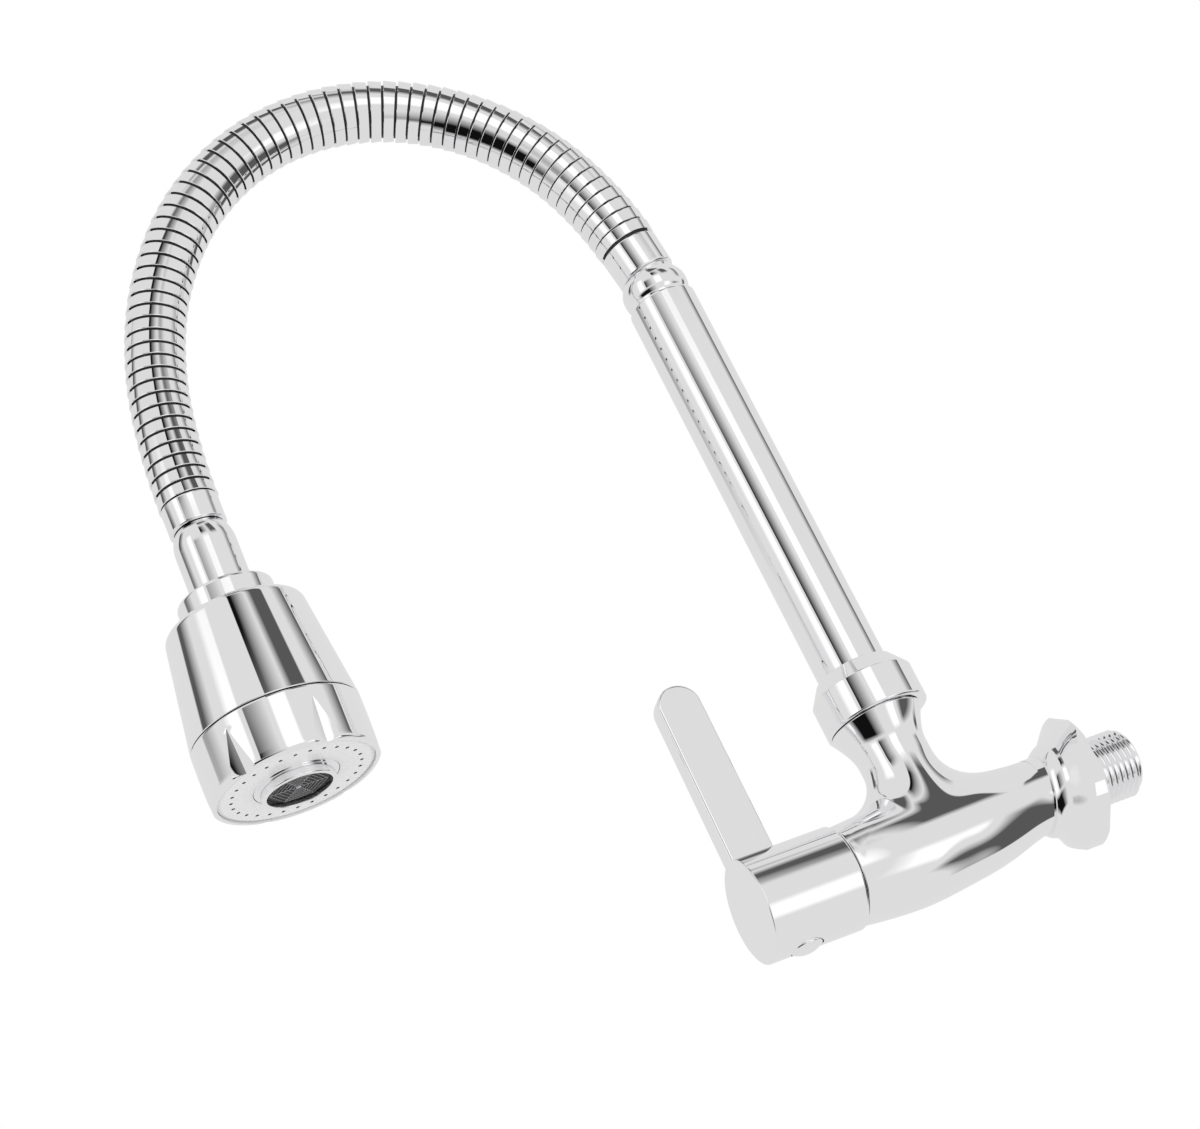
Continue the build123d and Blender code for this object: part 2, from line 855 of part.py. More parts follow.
def aerator_housing():
    """Chromed ring in the middle of the face, with a step that carries the mesh."""
    step = mesh_recess + mesh_thickness
    tip = face_high + aerator_reach
    return turned(
        [
            (aerator_bore_radius - 1.6, face_low - 2.0),
            (aerator_radius, face_low - 2.0),
            (aerator_radius, face_low - 0.1),
            (aerator_radius, face_low),
            (aerator_flange_radius, face_low),
            (aerator_flange_radius, face_high),
            (aerator_radius, face_high),
            (aerator_radius, tip - 0.5),
            (aerator_radius - 0.5, tip),
            (aerator_bore_radius, tip),
            (aerator_bore_radius, tip - step),
            (aerator_bore_radius - 1.6, tip - step),
        ],
        on_head,
    )


def aerator_mesh():
    """Round screen insert that mixes air into the jet."""
    tip = face_high + aerator_reach - mesh_recess
    return rod(aerator_bore_radius - seat_clearance, tip - mesh_thickness, tip, on_head)


def diverter_disc():
    """Disc behind the face that opens either outlet as the ring turns."""
    low = housing_end - 0.3 + core_gap()
    disc = rod(core_plate_radius, low, low + diverter_thickness, on_head)
    ports = []
    for number in range(3):
        around = Rot(0, 0, number * 120)
        circle = core_plate_radius - diverter_port_inset
        port = Pos(circle, 0, low + diverter_thickness / 2) * Cylinder(
            diverter_port_radius, 2 * diverter_thickness
        )
        ports.append(on_head * around * port)
    return disc - ports


def core_gap():
    """Room between the fixed core plate and the turning disc."""
    return 0.5


def face_spacer():
    """Inner cup that the ring drives: it joins the disc, the face and the aerator."""
    low = housing_end - 0.3 + core_gap() + diverter_thickness
    high = face_low
    outer = face_radius - face_ledge - seat_clearance
    return tube(outer, outer - spacer_wall, low, high, on_head)


def lever_handle():
    """Cap and flat lever in one casting, with the hub that grips the spindle."""
    cap = rod(cap_radius, cap_length_start(), cap_length_start() + cap_length, on_chamber)
    rims = cap.edges().filter_by(GeomType.CIRCLE).sort_by(Axis.Y)
    cap = fillet(rims[-1], cap_rear_round)
    rims = cap.edges().filter_by(GeomType.CIRCLE).sort_by(Axis.Y)
    cap = fillet(rims[0], cap_front_round)
    blade_middle = cap_front + lever_set_back + lever_width / 2
    blade_foot = cap_front + lever_foot_set_back
    straight = lever_top - lever_width / 2
    blade_side = Plane(origin=(-lever_thickness / 2, 0, 0), x_dir=(0, 1, 0), z_dir=(1, 0, 0))
    half = lever_width / 2
    outline = [
        Line((blade_foot, 0), (blade_middle + half, 0)),
        Line((blade_middle + half, 0), (blade_middle + half, straight)),
        ThreePointArc(
            (blade_middle + half, straight),
            (blade_middle, lever_top),
            (blade_middle - half, straight),
        ),
        Line((blade_middle - half, straight), (blade_foot, 0)),
    ]
    blade = extrude(blade_side * make_face(Curve() + outline), lever_thickness)
    edges = blade.faces().sort_by(Axis.X)[-1].edges() + blade.faces().sort_by(Axis.X)[0].edges()
    upper = [e for e in edges if e.center().Z > 1.0]
    blade = chamfer(upper, lever_edge)
    hub_start = cap_length_start() + cap_hollow_depth
    hub_bore = spindle_radius + seat_clearance
    cuts = [
        rod(cap_hollow_radius, cap_length_start() - 1, hub_start, on_chamber),
        rod(hub_bore, hub_start - 1, hub_start + spindle_seat + 0.5, on_chamber),
        rod(screw_radius + seat_clearance, 0, cap_radius + 1, on_plug),
        rod(plug_radius + seat_clearance, cap_radius - plug_depth, cap_radius + 2, on_plug),
    ]
    return cap + blade - cuts


def cap_length_start():
    """Distance of the cap's rear edge from the flange's rear face."""
    return body_length + cap_gap


on_plug = Plane(origin=(0, cap_rear - plug_offset, -chamber_drop), x_dir=(1, 0, 0), z_dir=(0, 0, -1)).location


def screw_plug():
    """Domed plug that hides the handle screw."""
    low = cap_radius - plug_depth
    rim = cap_radius - plug_rim
    height = plug_dome + plug_rim
    ball = (plug_radius**2 + height**2) / (2 * height)
    half_turn = asin(plug_radius / ball) / 2
    middle = (ball * sin(half_turn), rim + height - ball * (1 - cos(half_turn)))
    outline = [
        Line((0, low), (plug_radius, low)),
        Line((plug_radius, low), (plug_radius, rim)),
        ThreePointArc((plug_radius, rim), middle, (0, rim + height)),
        Line((0, rim + height), (0, low)),
    ]
    return turned_edges(outline, on_plug)


def handle_screw():
    """Grub screw that bears on the spindle's flat and clamps the lever."""
    low = spindle_flat + seat_clearance
    socket_depth = 3.0
    high = low + screw_length
    screw = rod(screw_radius, low, high, on_plug)
    key = hexagon_prism(2 * screw_socket, high - socket_depth, high + 1, on_plug)
    return screw - key


def cartridge_body():
    """Brass shell of the quarter-turn valve: nose, windows, thread, hexagon and neck."""
    thread = cartridge_thread_radius - seat_clearance
    thread_start = body_length - cartridge_thread_length
    ring_floor = thread - o_ring_section
    ring_room = body_length - o_ring_section - 0.4
    hex_end = body_length + hex_height
    neck_end = hex_end + cartridge_neck_length
    cavity = disc_radius + seat_clearance + running_clearance
    bore = spindle_radius + running_clearance
    shell = turned(
        [
            (seat_bore_radius, nose_end),
            (nose_radius, nose_end),
            (nose_radius, thread_start),
            (thread, thread_start),
            (thread, ring_room),
            (ring_floor, ring_room),
            (ring_floor, body_length),
            (cartridge_neck_radius, body_length),
            (cartridge_neck_radius, neck_end),
            (bore, neck_end),
            (bore, window_end + 2.0),
            (cavity, window_end + 2.0),
            (cavity, nose_end + nose_lip),
            (seat_bore_radius, nose_end + nose_lip),
        ],
        on_chamber,
    )
    shell += hexagon_prism(hex_across_flats, body_length, hex_end, on_chamber) - rod(
        bore, body_length - 1, hex_end + 1, on_chamber
    )
    window_middle = (window_start + window_end) / 2
    for turn in (0, 90):
        window = Pos(0, 0, window_middle) * Box(
            window_width, 3 * nose_radius, window_end - window_start
        )
        shell -= on_chamber * Rot(0, 0, turn) * window
    return shell


def ceramic_disc(low, turn):
    """Ceramic disc with two quarter openings."""
    disc = rod(disc_radius, low, low + disc_thickness, on_chamber)
    opening_outer = disc_radius - 1.5
    opening_inner = 1.4
    for side in (0, 180):
        wedge = Rot(0, 0, turn + side) * (
            extrude(
                make_face(
                    Curve()
                    + [
                        Line(polar(opening_inner, -38), polar(opening_outer, -38)),
                        ThreePointArc(
                            polar(opening_outer, -38), polar(opening_outer, 0), polar(opening_outer, 38)
                        ),
                        Line(polar(opening_outer, 38), polar(opening_inner, 38)),
                        Line(polar(opening_inner, 38), polar(opening_inner, -38)),
                    ]
                ),
                3 * disc_thickness,
            )
        )
        disc -= on_chamber * Pos(0, 0, low - disc_thickness) * wedge
    return disc


def polar(radius, angle):
    """Point at a radius and an angle in degrees."""
    return radius * cos(radians(angle)), radius * sin(radians(angle))


fixed_disc_start = nose_end + nose_lip
moving_disc_start = fixed_disc_start + disc_thickness + disc_gap


def cartridge_spindle():
    """Turning stem: a driver bar on the moving disc, the shaft and the end in the lever."""
    bar_low = moving_disc_start + disc_thickness
    bar_high = bar_low + spindle_bar_thickness
    end = cap_length_start() + cap_hollow_depth + spindle_seat
    groove_height = spindle_ring_height()
    half = o_ring_section / 2 + 0.1
    shaft = rod(spindle_radius, bar_high - 0.5, end, on_chamber)
    bar = on_chamber * Pos(0, 0, (bar_low + bar_high) / 2) * Box(
        2 * disc_radius - 0.8, spindle_bar, bar_high - bar_low
    )
    groove = tube(
        spindle_radius + 1,
        spindle_radius - o_ring_section,
        groove_height - half,
        groove_height + half,
        on_chamber,
    )
    flat_start = cap_length_start() + cap_hollow_depth
    flat = on_chamber * Pos(0, -spindle_flat - spindle_radius, (flat_start + end) / 2) * Box(
        2 * spindle_radius, 2 * spindle_radius, end - flat_start
    )
    return shaft + bar - groove - flat


def spindle_ring_height():
    """Place of the spindle's O-ring, inside the hexagon."""
    return body_length + 0.5 * hex_height


def seat_seal():
    """Rubber ring between the cartridge's nose and the seat in the body."""
    return tube(nose_radius - 0.4, seat_bore_radius + 0.2, seat_face, nose_end, on_chamber)


os.makedirs("parts", exist_ok=True)

save("valve_body", valve_body())
save("riser_nut", riser_nut())
save("cartridge_body", cartridge_body())
save("seat_seal", seat_seal())
save("fixed_disc", ceramic_disc(fixed_disc_start, 90))
save(
    "cartridge_o_ring",
    o_ring(
        cartridge_thread_radius - seat_clearance - o_ring_section / 2,
        body_length - o_ring_section / 2 - 0.2,
        on_chamber,
    ),
)

save("lever_handle", lever_handle())
save("screw_plug", screw_plug())
save("handle_screw", handle_screw())
save("cartridge_spindle", cartridge_spindle())
save("moving_disc", ceramic_disc(moving_disc_start, 0))
save("spindle_o_ring", o_ring(spindle_radius - o_ring_section / 2, spindle_ring_height(), on_chamber))

save("riser_tube", riser_tube())
save("riser_spigot", riser_spigot())
foot_ring_radius = spigot_bore_radius - running_clearance - o_ring_section / 2
rings = [o_ring(foot_ring_radius, height, on_riser) for height in o_ring_heights()]
save("riser_o_rings", Compound(children=[ring.solids()[0] for ring in rings]))
save(
    "slip_ring",
    tube(
        spigot_flange_radius,
        tube_radius + slip_clearance,
        tube_bottom,
        tube_bottom + slip_ring_height,
        on_riser,
    ),
)
save("collar_adapter", collar_adapter())
save("lower_ferrule", lower_ferrule())
save("lower_barb", lower_barb())
save("water_hose", water_hose())

for number, arc in enumerate(arcs, start=1):
    save(f"hose_section_{number}", hose_section(arc))

save("upper_ferrule", upper_ferrule())
save("upper_barb", upper_barb())
save("head_connector", head_connector())

save("head_collar", head_collar())
save("head_housing", head_housing())
save("flow_core", flow_core())
save("head_o_ring", o_ring(connector_radius - 1.6 - o_ring_section / 2, head_o_ring_height(), on_head))

save("twist_ring", twist_ring())
save("spray_face", spray_face())
save("aerator_housing", aerator_housing())
save("aerator_mesh", aerator_mesh())
save("diverter_disc", diverter_disc())
save("face_spacer", face_spacer())

for number, arc in enumerate(arcs, start=1):
    print(f"joint {number}: s {arc.s:.3f} z {arc.z:.3f} lean {degrees(arc.tau):.3f} radius {arc.radius:.1f}")
end_s, end_z, end_lean = arcs[-1].place(section_length)
print(f"hose end: s {end_s:.3f} z {end_z:.3f} lean {degrees(end_lean):.3f} length {hose_length:.1f}")
print(f"head: collar {collar_start:.2f} housing {housing_start:.2f} ring {ring_start:.2f} to {ring_end:.2f}")
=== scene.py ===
"""Looks of the flexible spout tap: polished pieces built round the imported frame.

Sizes are in millimetres and are turned into metres where a mesh is made. The origin is the
centre of the inlet flange's rear face, +Y goes into the wall and +Z is up along the riser.
"""

import json
import logging
import math
from collections.abc import Callable, Iterable
from dataclasses import dataclass, field
from enum import Enum

import bmesh
import bpy
import numpy as np
from mathutils import Matrix, Vector

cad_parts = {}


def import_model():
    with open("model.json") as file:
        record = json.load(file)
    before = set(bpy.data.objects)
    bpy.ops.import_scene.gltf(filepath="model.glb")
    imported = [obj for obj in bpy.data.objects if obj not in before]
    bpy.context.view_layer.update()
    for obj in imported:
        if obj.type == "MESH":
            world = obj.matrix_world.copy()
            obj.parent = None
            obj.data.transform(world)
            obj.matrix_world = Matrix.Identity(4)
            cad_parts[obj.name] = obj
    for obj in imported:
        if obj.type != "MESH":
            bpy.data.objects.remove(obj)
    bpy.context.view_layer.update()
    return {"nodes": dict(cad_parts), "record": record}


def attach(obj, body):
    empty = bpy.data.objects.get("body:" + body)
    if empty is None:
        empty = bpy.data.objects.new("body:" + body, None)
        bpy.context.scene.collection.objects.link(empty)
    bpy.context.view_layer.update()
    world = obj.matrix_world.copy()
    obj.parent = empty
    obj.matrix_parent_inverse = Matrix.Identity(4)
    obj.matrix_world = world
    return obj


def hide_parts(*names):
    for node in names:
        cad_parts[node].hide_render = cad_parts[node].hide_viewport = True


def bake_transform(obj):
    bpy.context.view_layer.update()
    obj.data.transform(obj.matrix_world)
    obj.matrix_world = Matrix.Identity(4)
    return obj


Triple = tuple[float, float, float]
Outline = list[tuple[float, float]]

LOG = logging.getLogger("spout_tap")
MM = 0.001
UP = Vector((0, 0, 1))
MERGE_GAP = 0.004
SLIVER = 0.002
CRISP_ANGLE = 32.0
SOCKET_KINDS = {float: "NodeSocketFloat", tuple: "NodeSocketColor", type(None): "NodeSocketVector"}


class Slot(Enum):
    """Material slots of the record."""

    CHROME = "chrome"
    HOSE_CHROME = "hose_chrome"
    BRASS = "brass"
    RUBBER = "rubber"
    CERAMIC = "ceramic"
    WHITE_PLASTIC = "white_plastic"
    HOSE_RUBBER = "hose_rubber"
    GREY_PLASTIC = "grey_plastic"
    MESH_STEEL = "mesh_steel"
    SCREW_STEEL = "screw_steel"


class Body(Enum):
    """Bodies of the frame that new pieces ride on."""

    VALVE = "valve"
    LEVER = "lever"
    RISER = "riser"
    HOSE_END = "hose_end"
    HEAD = "head"
    SELECTOR = "selector"


@dataclass(frozen=True)
class Stance:
    """Where a turned piece stands: a foot in mm, its axis and the direction its angles start from."""

    foot: Triple
    axis: Triple
    side: Triple = (1.0, 0.0, 0.0)

    def matrix(self) -> Matrix:
        """Matrix from the piece's own millimetres to the frame's metres."""
        axis = Vector(self.axis).normalized()
        side = Vector(self.side)
        side = (side - axis * side.dot(axis)).normalized()
        turned = Matrix((side, axis.cross(side), axis)).transposed().to_4x4()
        return Matrix.Translation(Vector(self.foot) * MM) @ turned @ Matrix.Scale(MM, 4)


class Smooth:
    """Smooth curve through a few stations, with no break in its bend."""

    def __init__(self, places: Iterable[float], values: Iterable[float]) -> None:
        """Work out the bends at the stations.

        Args:
            places: Increasing places of the stations.
            values: The curve's value at each of them.
        """
        self.places = np.array(list(places), float)
        self.values = np.array(list(values), float)
        count = len(self.places)
        steps = np.diff(self.places)
        slopes = np.diff(self.values) / steps
        system = np.eye(count)
        wanted = np.zeros(count)
        for row in range(1, count - 1):
            system[row, row - 1] = steps[row - 1]
            system[row, row] = 2 * (steps[row - 1] + steps[row])
            system[row, row + 1] = steps[row]
            wanted[row] = 6 * (slopes[row] - slopes[row - 1])
        self.bends = np.linalg.solve(system, wanted)

    def at(self, place: float) -> float:
        """Value of the curve at a place; past an end it stays at that end's value.

        Args:
            place: Where the curve is read.

        Returns:
            The value there.
        """
        inside = min(max(place, self.places[0]), self.places[-1])
        left = int(np.clip(np.searchsorted(self.places, inside) - 1, 0, len(self.places) - 2))
        width = self.places[left + 1] - self.places[left]
        before = (self.places[left + 1] - inside) / width
        after = 1 - before
        line = before * self.values[left] + after * self.values[left + 1]
        bend = (before**3 - before) * self.bends[left] + (after**3 - after) * self.bends[left + 1]
        return float(line + bend * width * width / 6)


def softened(corners: Iterable[Triple], closed: bool, segments: int = 4) -> Outline:
    """Round the corners of an outline and hold the straight runs beside them.

    Args:
        corners: Radius, height and rounding of each corner.
        closed: Whether the last corner joins the first.
        segments: Segments of each rounding.

    Returns:
        Points of the softened outline, as radius and height.
    """
    run_share = 0.42
    hold_share, hold_base = 0.35, 0.12
    hold_limit, hold_slack = 0.06, 0.05
    known = [(Vector((r, h)), rounding) for r, h, rounding in corners]
    points: list[Vector] = []
    for number, (corner, rounding) in enumerate(known):
        at_end = not closed and number in (0, len(known) - 1)
        if at_end or rounding <= 0:
            points.append(corner)
            continue
        back = known[number - 1][0] - corner
        ahead = known[(number + 1) % len(known)][0] - corner
        opening = back.angle(ahead)
        shorter = min(back.length, ahead.length)
        reach = min(rounding / math.tan(opening / 2), run_share * shorter)
        hold = min(hold_share * reach + hold_base, hold_limit * shorter + hold_slack)
        back.normalize()
        ahead.normalize()
        radius = reach * math.tan(opening / 2)
        centre = corner + (back + ahead).normalized() * (radius / math.sin(opening / 2))
        first = (corner + back * reach - centre).normalized()
        last = (corner + ahead * reach - centre).normalized()
        points.append(corner + back * (reach + hold))
        for step in range(segments + 1):
            points.append(centre + first.slerp(last, step / segments) * radius)
        points.append(corner + ahead * (reach + hold))
    return [(p.x, p.y) for p in points]


def close_mesh(mesh: bmesh.types.BMesh, limit: float = CRISP_ANGLE, outward: bool = True) -> None:
    """Merge doubles, turn the faces outwards, and smooth all but the crisp edges.

    Args:
        mesh: The mesh, in metres.
        limit: Angle in degrees past which an edge stays crisp.
        outward: Whether the normals are worked out again.
    """
    bmesh.ops.remove_doubles(mesh, verts=mesh.verts, dist=MERGE_GAP * MM)
    bmesh.ops.dissolve_degenerate(mesh, dist=SLIVER * MM, edges=mesh.edges)
    if outward:
        bmesh.ops.recalc_face_normals(mesh, faces=mesh.faces)
    for face in mesh.faces:
        face.smooth = True
    for edge in mesh.edges:
        if len(edge.link_faces) == 2 and edge.calc_face_angle(0.0) > math.radians(limit):
            edge.smooth = False


def only(kind: type, geometry: Iterable) -> list:
    """Members of some geometry that are of one kind, such as its points."""
    return [part for part in geometry if isinstance(part, kind)]


def shares(count: int) -> list[float]:
    """Even shares of a run, from its first step to 1."""
    return [step / count for step in range(1, count + 1)]


def slice_off(mesh: bmesh.types.BMesh, place: Triple, outward: Triple, slack: float) -> None:
    """Cut a mesh at a plane and drop what lies beyond it.

    Args:
        mesh: The mesh.
        place: A point of the plane.
        outward: The plane's normal, towards the side that is dropped.
        slack: Distance within which a point counts as on the plane.
    """
    parts = mesh.verts[:] + mesh.edges[:] + mesh.faces[:]
    bmesh.ops.bisect_plane(mesh, geom=parts, dist=slack, plane_co=place, plane_no=outward, clear_outer=True)


def as_object(mesh: bmesh.types.BMesh, name: str) -> bpy.types.Object:
    """Make an object of the mesh, at the origin, and free the mesh.

    Args:
        mesh: The finished mesh, in metres.
        name: Name of the piece.

    Returns:
        The piece.
    """
    data = bpy.data.meshes.new(name)
    mesh.to_mesh(data)
    mesh.free()
    piece = bpy.data.objects.new(name, data)
    bpy.context.scene.collection.objects.link(piece)
    return piece


def stood(
    mesh: bmesh.types.BMesh, name: str, stance: Stance, limit: float = CRISP_ANGLE
) -> bpy.types.Object:
    """Stand a mesh of millimetres in its place, close it and make its object.

    Args:
        mesh: The mesh, round its own z axis.
        name: Name of the piece.
        stance: Where the piece stands.
        limit: Angle in degrees past which an edge stays crisp.

    Returns:
        The piece.
    """
    bmesh.ops.transform(mesh, matrix=stance.matrix(), verts=mesh.verts)
    close_mesh(mesh, limit)
    return as_object(mesh, name)


def spun(
    mesh: bmesh.types.BMesh, outline: Outline, closed: bool, steps: int, turns: int = 1, rise: float = 0.0
) -> None:
    """Turn an outline round the z axis of the mesh.

    Args:
        mesh: The mesh that the turned faces are added to.
        outline: Radius and height of each point.
        closed: Whether the last point joins the first.
        steps: Segments of each turn.
        turns: Number of turns.
        rise: Height that each segment of a helix gains; 0 closes the turn on itself.
    """
    points = [mesh.verts.new((r, 0.0, h)) for r, h in outline]
    pairs = list(zip(points, points[1:]))
    if closed:
        pairs.append((points[-1], points[0]))
    edges = [mesh.edges.new(pair) for pair in pairs]
    bmesh.ops.spin(
        mesh, geom=points + edges, cent=(0, 0, 0), axis=(0, 0, 1), dvec=(0, 0, rise),
        angle=2 * math.pi * turns, steps=steps * turns, use_merge=rise == 0,
    )


def lathed(
    name: str,
    outline: Outline,
    stance: Stance,
    closed: bool = True,
    steps: int = 128,
    limit: float = CRISP_ANGLE,
) -> bpy.types.Object:
    """A lathe-turned piece from the points of its outline.

    Args:
        name: Name of the piece.
        outline: Radius and height of each point.
        stance: Where the piece stands.
        closed: Whether the outline closes on itself; an open one starts and ends on the axis.
        steps: Segments round the piece.
        limit: Angle in degrees past which an edge stays crisp.

    Returns:
        The piece.
    """
    mesh = bmesh.new()
    spun(mesh, outline, closed, steps)
    return stood(mesh, name, stance, limit)


def turned_piece(name: str, corners: Iterable[Triple], stance: Stance, steps: int = 128) -> bpy.types.Object:
    """A lathe-turned ring from the rounded corners of its closed outline.

    Args:
        name: Name of the piece.
        corners: Radius, height and rounding of each corner.
        stance: Where the piece stands.
        steps: Segments round the piece.

    Returns:
        The piece.
    """
    return lathed(name, softened(corners, True), stance, steps=steps)


def cut_away(piece: bpy.types.Object, cutter: bpy.types.Object, limit: float) -> bpy.types.Object:
    """Cut one closed object out of another and remove the cutter.

    Args:
        piece: The object that is cut.
        cutter: The shape that is taken away.
        limit: Angle in degrees past which an edge of the result stays crisp.

    Returns:
        The piece, with its new mesh.
    """
    cut = piece.modifiers.new("cut", "BOOLEAN")
    cut.operation = "DIFFERENCE"
    cut.solver = "EXACT"
    cut.object = cutter
    bpy.context.view_layer.update()
    whole = piece.evaluated_get(bpy.context.evaluated_depsgraph_get())
    final = bpy.data.meshes.new_from_object(whole)
    mesh = bmesh.new()
    mesh.from_mesh(final)
    close_mesh(mesh, limit)
    mesh.to_mesh(final)
    mesh.free()
    piece.modifiers.clear()
    piece.data = final
    bpy.data.objects.remove(cutter)
    return piece


def add_node(
    tree: bpy.types.NodeTree, kind: str, values: dict[str, object] | None = None, **settings: object
) -> bpy.types.Node:
    """Add a node to a tree.

    Args:
        tree: The node tree.
        kind: The node's type.
        values: Values of its inputs, by name.
        settings: The node's own settings.

    Returns:
        The node.
    """
    made = tree.nodes.new(kind)
    for name, value in settings.items():
        setattr(made, name, value)
    for name, value in (values or {}).items():
        made.inputs[name].default_value = value
    return made


def wire(tree: bpy.types.NodeTree, *rows: tuple) -> None:
    """Link nodes, each row giving a node and its output, and a node and its input."""
    for source, output, target, entry in rows:
        tree.links.new(source.outputs[output], target.inputs[entry])


def new_group(
    name: str, inputs: dict[str, object], outputs: dict[str, object]
) -> tuple[bpy.types.NodeTree, bpy.types.Node, bpy.types.Node]:
    """Start a shader node group with its sockets.

    Args:
        name: Name of the group.
        inputs: Default value of each input: a number, a colour, or None for a vector.
        outputs: The same for the outputs, where only the kind of value counts.

    Returns:
        The group, its input node and its output node.
    """
    group = bpy.data.node_groups.new(name, "ShaderNodeTree")
    for side, sockets in (("INPUT", inputs), ("OUTPUT", outputs)):
        for label, value in sockets.items():
            kind = SOCKET_KINDS[type(value)]
            made = group.interface.new_socket(name=label, in_out=side, socket_type=kind)
            if side == "INPUT" and value is not None:
                made.default_value = value
    return group, add_node(group, "NodeGroupInput"), add_node(group, "NodeGroupOutput")


@dataclass
class Effects:
    """Node groups that several finishes share."""

    grain: bpy.types.NodeTree = field(init=False)
    wear: bpy.types.NodeTree = field(init=False)

    def __post_init__(self) -> None:
        """Build both groups once."""
        self.grain = self.polish_grain()
        self.wear = self.handling_wear()

    def polish_grain(self) -> bpy.types.NodeTree:
        """Height of a polished or moulded surface: a slow swell and a fine grain.

        Returns:
            Group with the inputs Vector, Swell Scale, Grain Scale and Grain Share, and the output Height.
        """
        inputs = {"Vector": None, "Swell Scale": 40.0, "Grain Scale": 1500.0, "Grain Share": 0.2}
        group, start, end = new_group("Polish grain", inputs, {"Height": 0.0})
        swell = add_node(group, "ShaderNodeTexNoise", {"Detail": 1.0})
        grain = add_node(group, "ShaderNodeTexNoise", {"Detail": 3.0})
        both = add_node(group, "ShaderNodeMix", data_type="FLOAT")
        wire(
            group,
            (start, "Vector", swell, "Vector"),
            (start, "Vector", grain, "Vector"),
            (start, "Swell Scale", swell, "Scale"),
            (start, "Grain Scale", grain, "Scale"),
            (start, "Grain Share", both, "Factor"),
            (swell, "Fac", both, "A"),
            (grain, "Fac", both, "B"),
            (both, "Result", end, "Height"),
        )
        return group

    def handling_wear(self) -> bpy.types.NodeTree:
        """Colour and roughness with faint water marks and hairlines from wiping.

        Returns:
            Group with the inputs Vector, Colour, Worn Colour, Roughness, Worn Roughness and Amount,
            and the outputs Colour and Roughness.
        """
        inputs = {
            "Vector": None,
            "Colour": (0.9, 0.9, 0.9, 1.0),
            "Worn Colour": (0.8, 0.8, 0.8, 1.0),
            "Roughness": 0.05,
            "Worn Roughness": 0.15,
            "Amount": 0.2,
        }
        group, start, end = new_group("Handling wear", inputs, {"Colour": (), "Roughness": 0.0})
        marks = add_node(group, "ShaderNodeTexNoise", {"Scale": 65.0, "Detail": 6.0, "Roughness": 0.62})
        edge = add_node(group, "ShaderNodeMapRange", {"From Min": 0.52, "From Max": 0.78})
        share = add_node(group, "ShaderNodeMath", operation="MULTIPLY")
        colour = add_node(group, "ShaderNodeMix", data_type="RGBA")
        gloss = add_node(group, "ShaderNodeMix", data_type="FLOAT")
        wire(
            group,
            (start, "Vector", marks, "Vector"),
            (marks, "Fac", edge, "Value"),
            (edge, "Result", share, 0),
            (start, "Amount", share, 1),
            (share, "Value", colour, "Factor"),
            (start, "Colour", colour, "A"),
            (start, "Worn Colour", colour, "B"),
            (share, "Value", gloss, "Factor"),
            (start, "Roughness", gloss, "A"),
            (start, "Worn Roughness", gloss, "B"),
            (colour, "Result", end, "Colour"),
            (gloss, "Result", end, "Roughness"),
        )
        return group


@dataclass(frozen=True)
class Finish:
    """One surface finish, from its colour and gloss to its grain and wear."""

    name: str
    slot: Slot
    colour: Triple
    worn: Triple
    metallic: float
    roughness: float
    worn_roughness: float
    wear: float
    swell_scale: float
    grain_scale: float
    grain_share: float
    bump: float
    depth: float = 0.05

    def material(self, effects: Effects) -> bpy.types.Material:
        """Build the finish as a node material.

        Args:
            effects: The node groups that finishes share.

        Returns:
            The material.
        """
        made = bpy.data.materials.new(self.name)
        made.use_nodes = True
        tree = made.node_tree
        shader = tree.nodes["Principled BSDF"]
        shader.inputs["Metallic"].default_value = self.metallic
        where = add_node(tree, "ShaderNodeTexCoord")
        worn = {
            "Colour": (*self.colour, 1.0),
            "Worn Colour": (*self.worn, 1.0),
            "Roughness": self.roughness,
            "Worn Roughness": self.worn_roughness,
            "Amount": self.wear,
        }
        wear = add_node(tree, "ShaderNodeGroup", worn, node_tree=effects.wear)
        polish = {
            "Swell Scale": self.swell_scale,
            "Grain Scale": self.grain_scale,
            "Grain Share": self.grain_share,
        }
        grain = add_node(tree, "ShaderNodeGroup", polish, node_tree=effects.grain)
        bump = add_node(tree, "ShaderNodeBump", {"Strength": self.bump, "Distance": self.depth * MM})
        wire(
            tree,
            (where, "Object", wear, "Vector"),
            (where, "Object", grain, "Vector"),
            (wear, "Colour", shader, "Base Color"),
            (wear, "Roughness", shader, "Roughness"),
            (grain, "Height", bump, "Height"),
            (bump, "Normal", shader, "Normal"),
        )
        return made


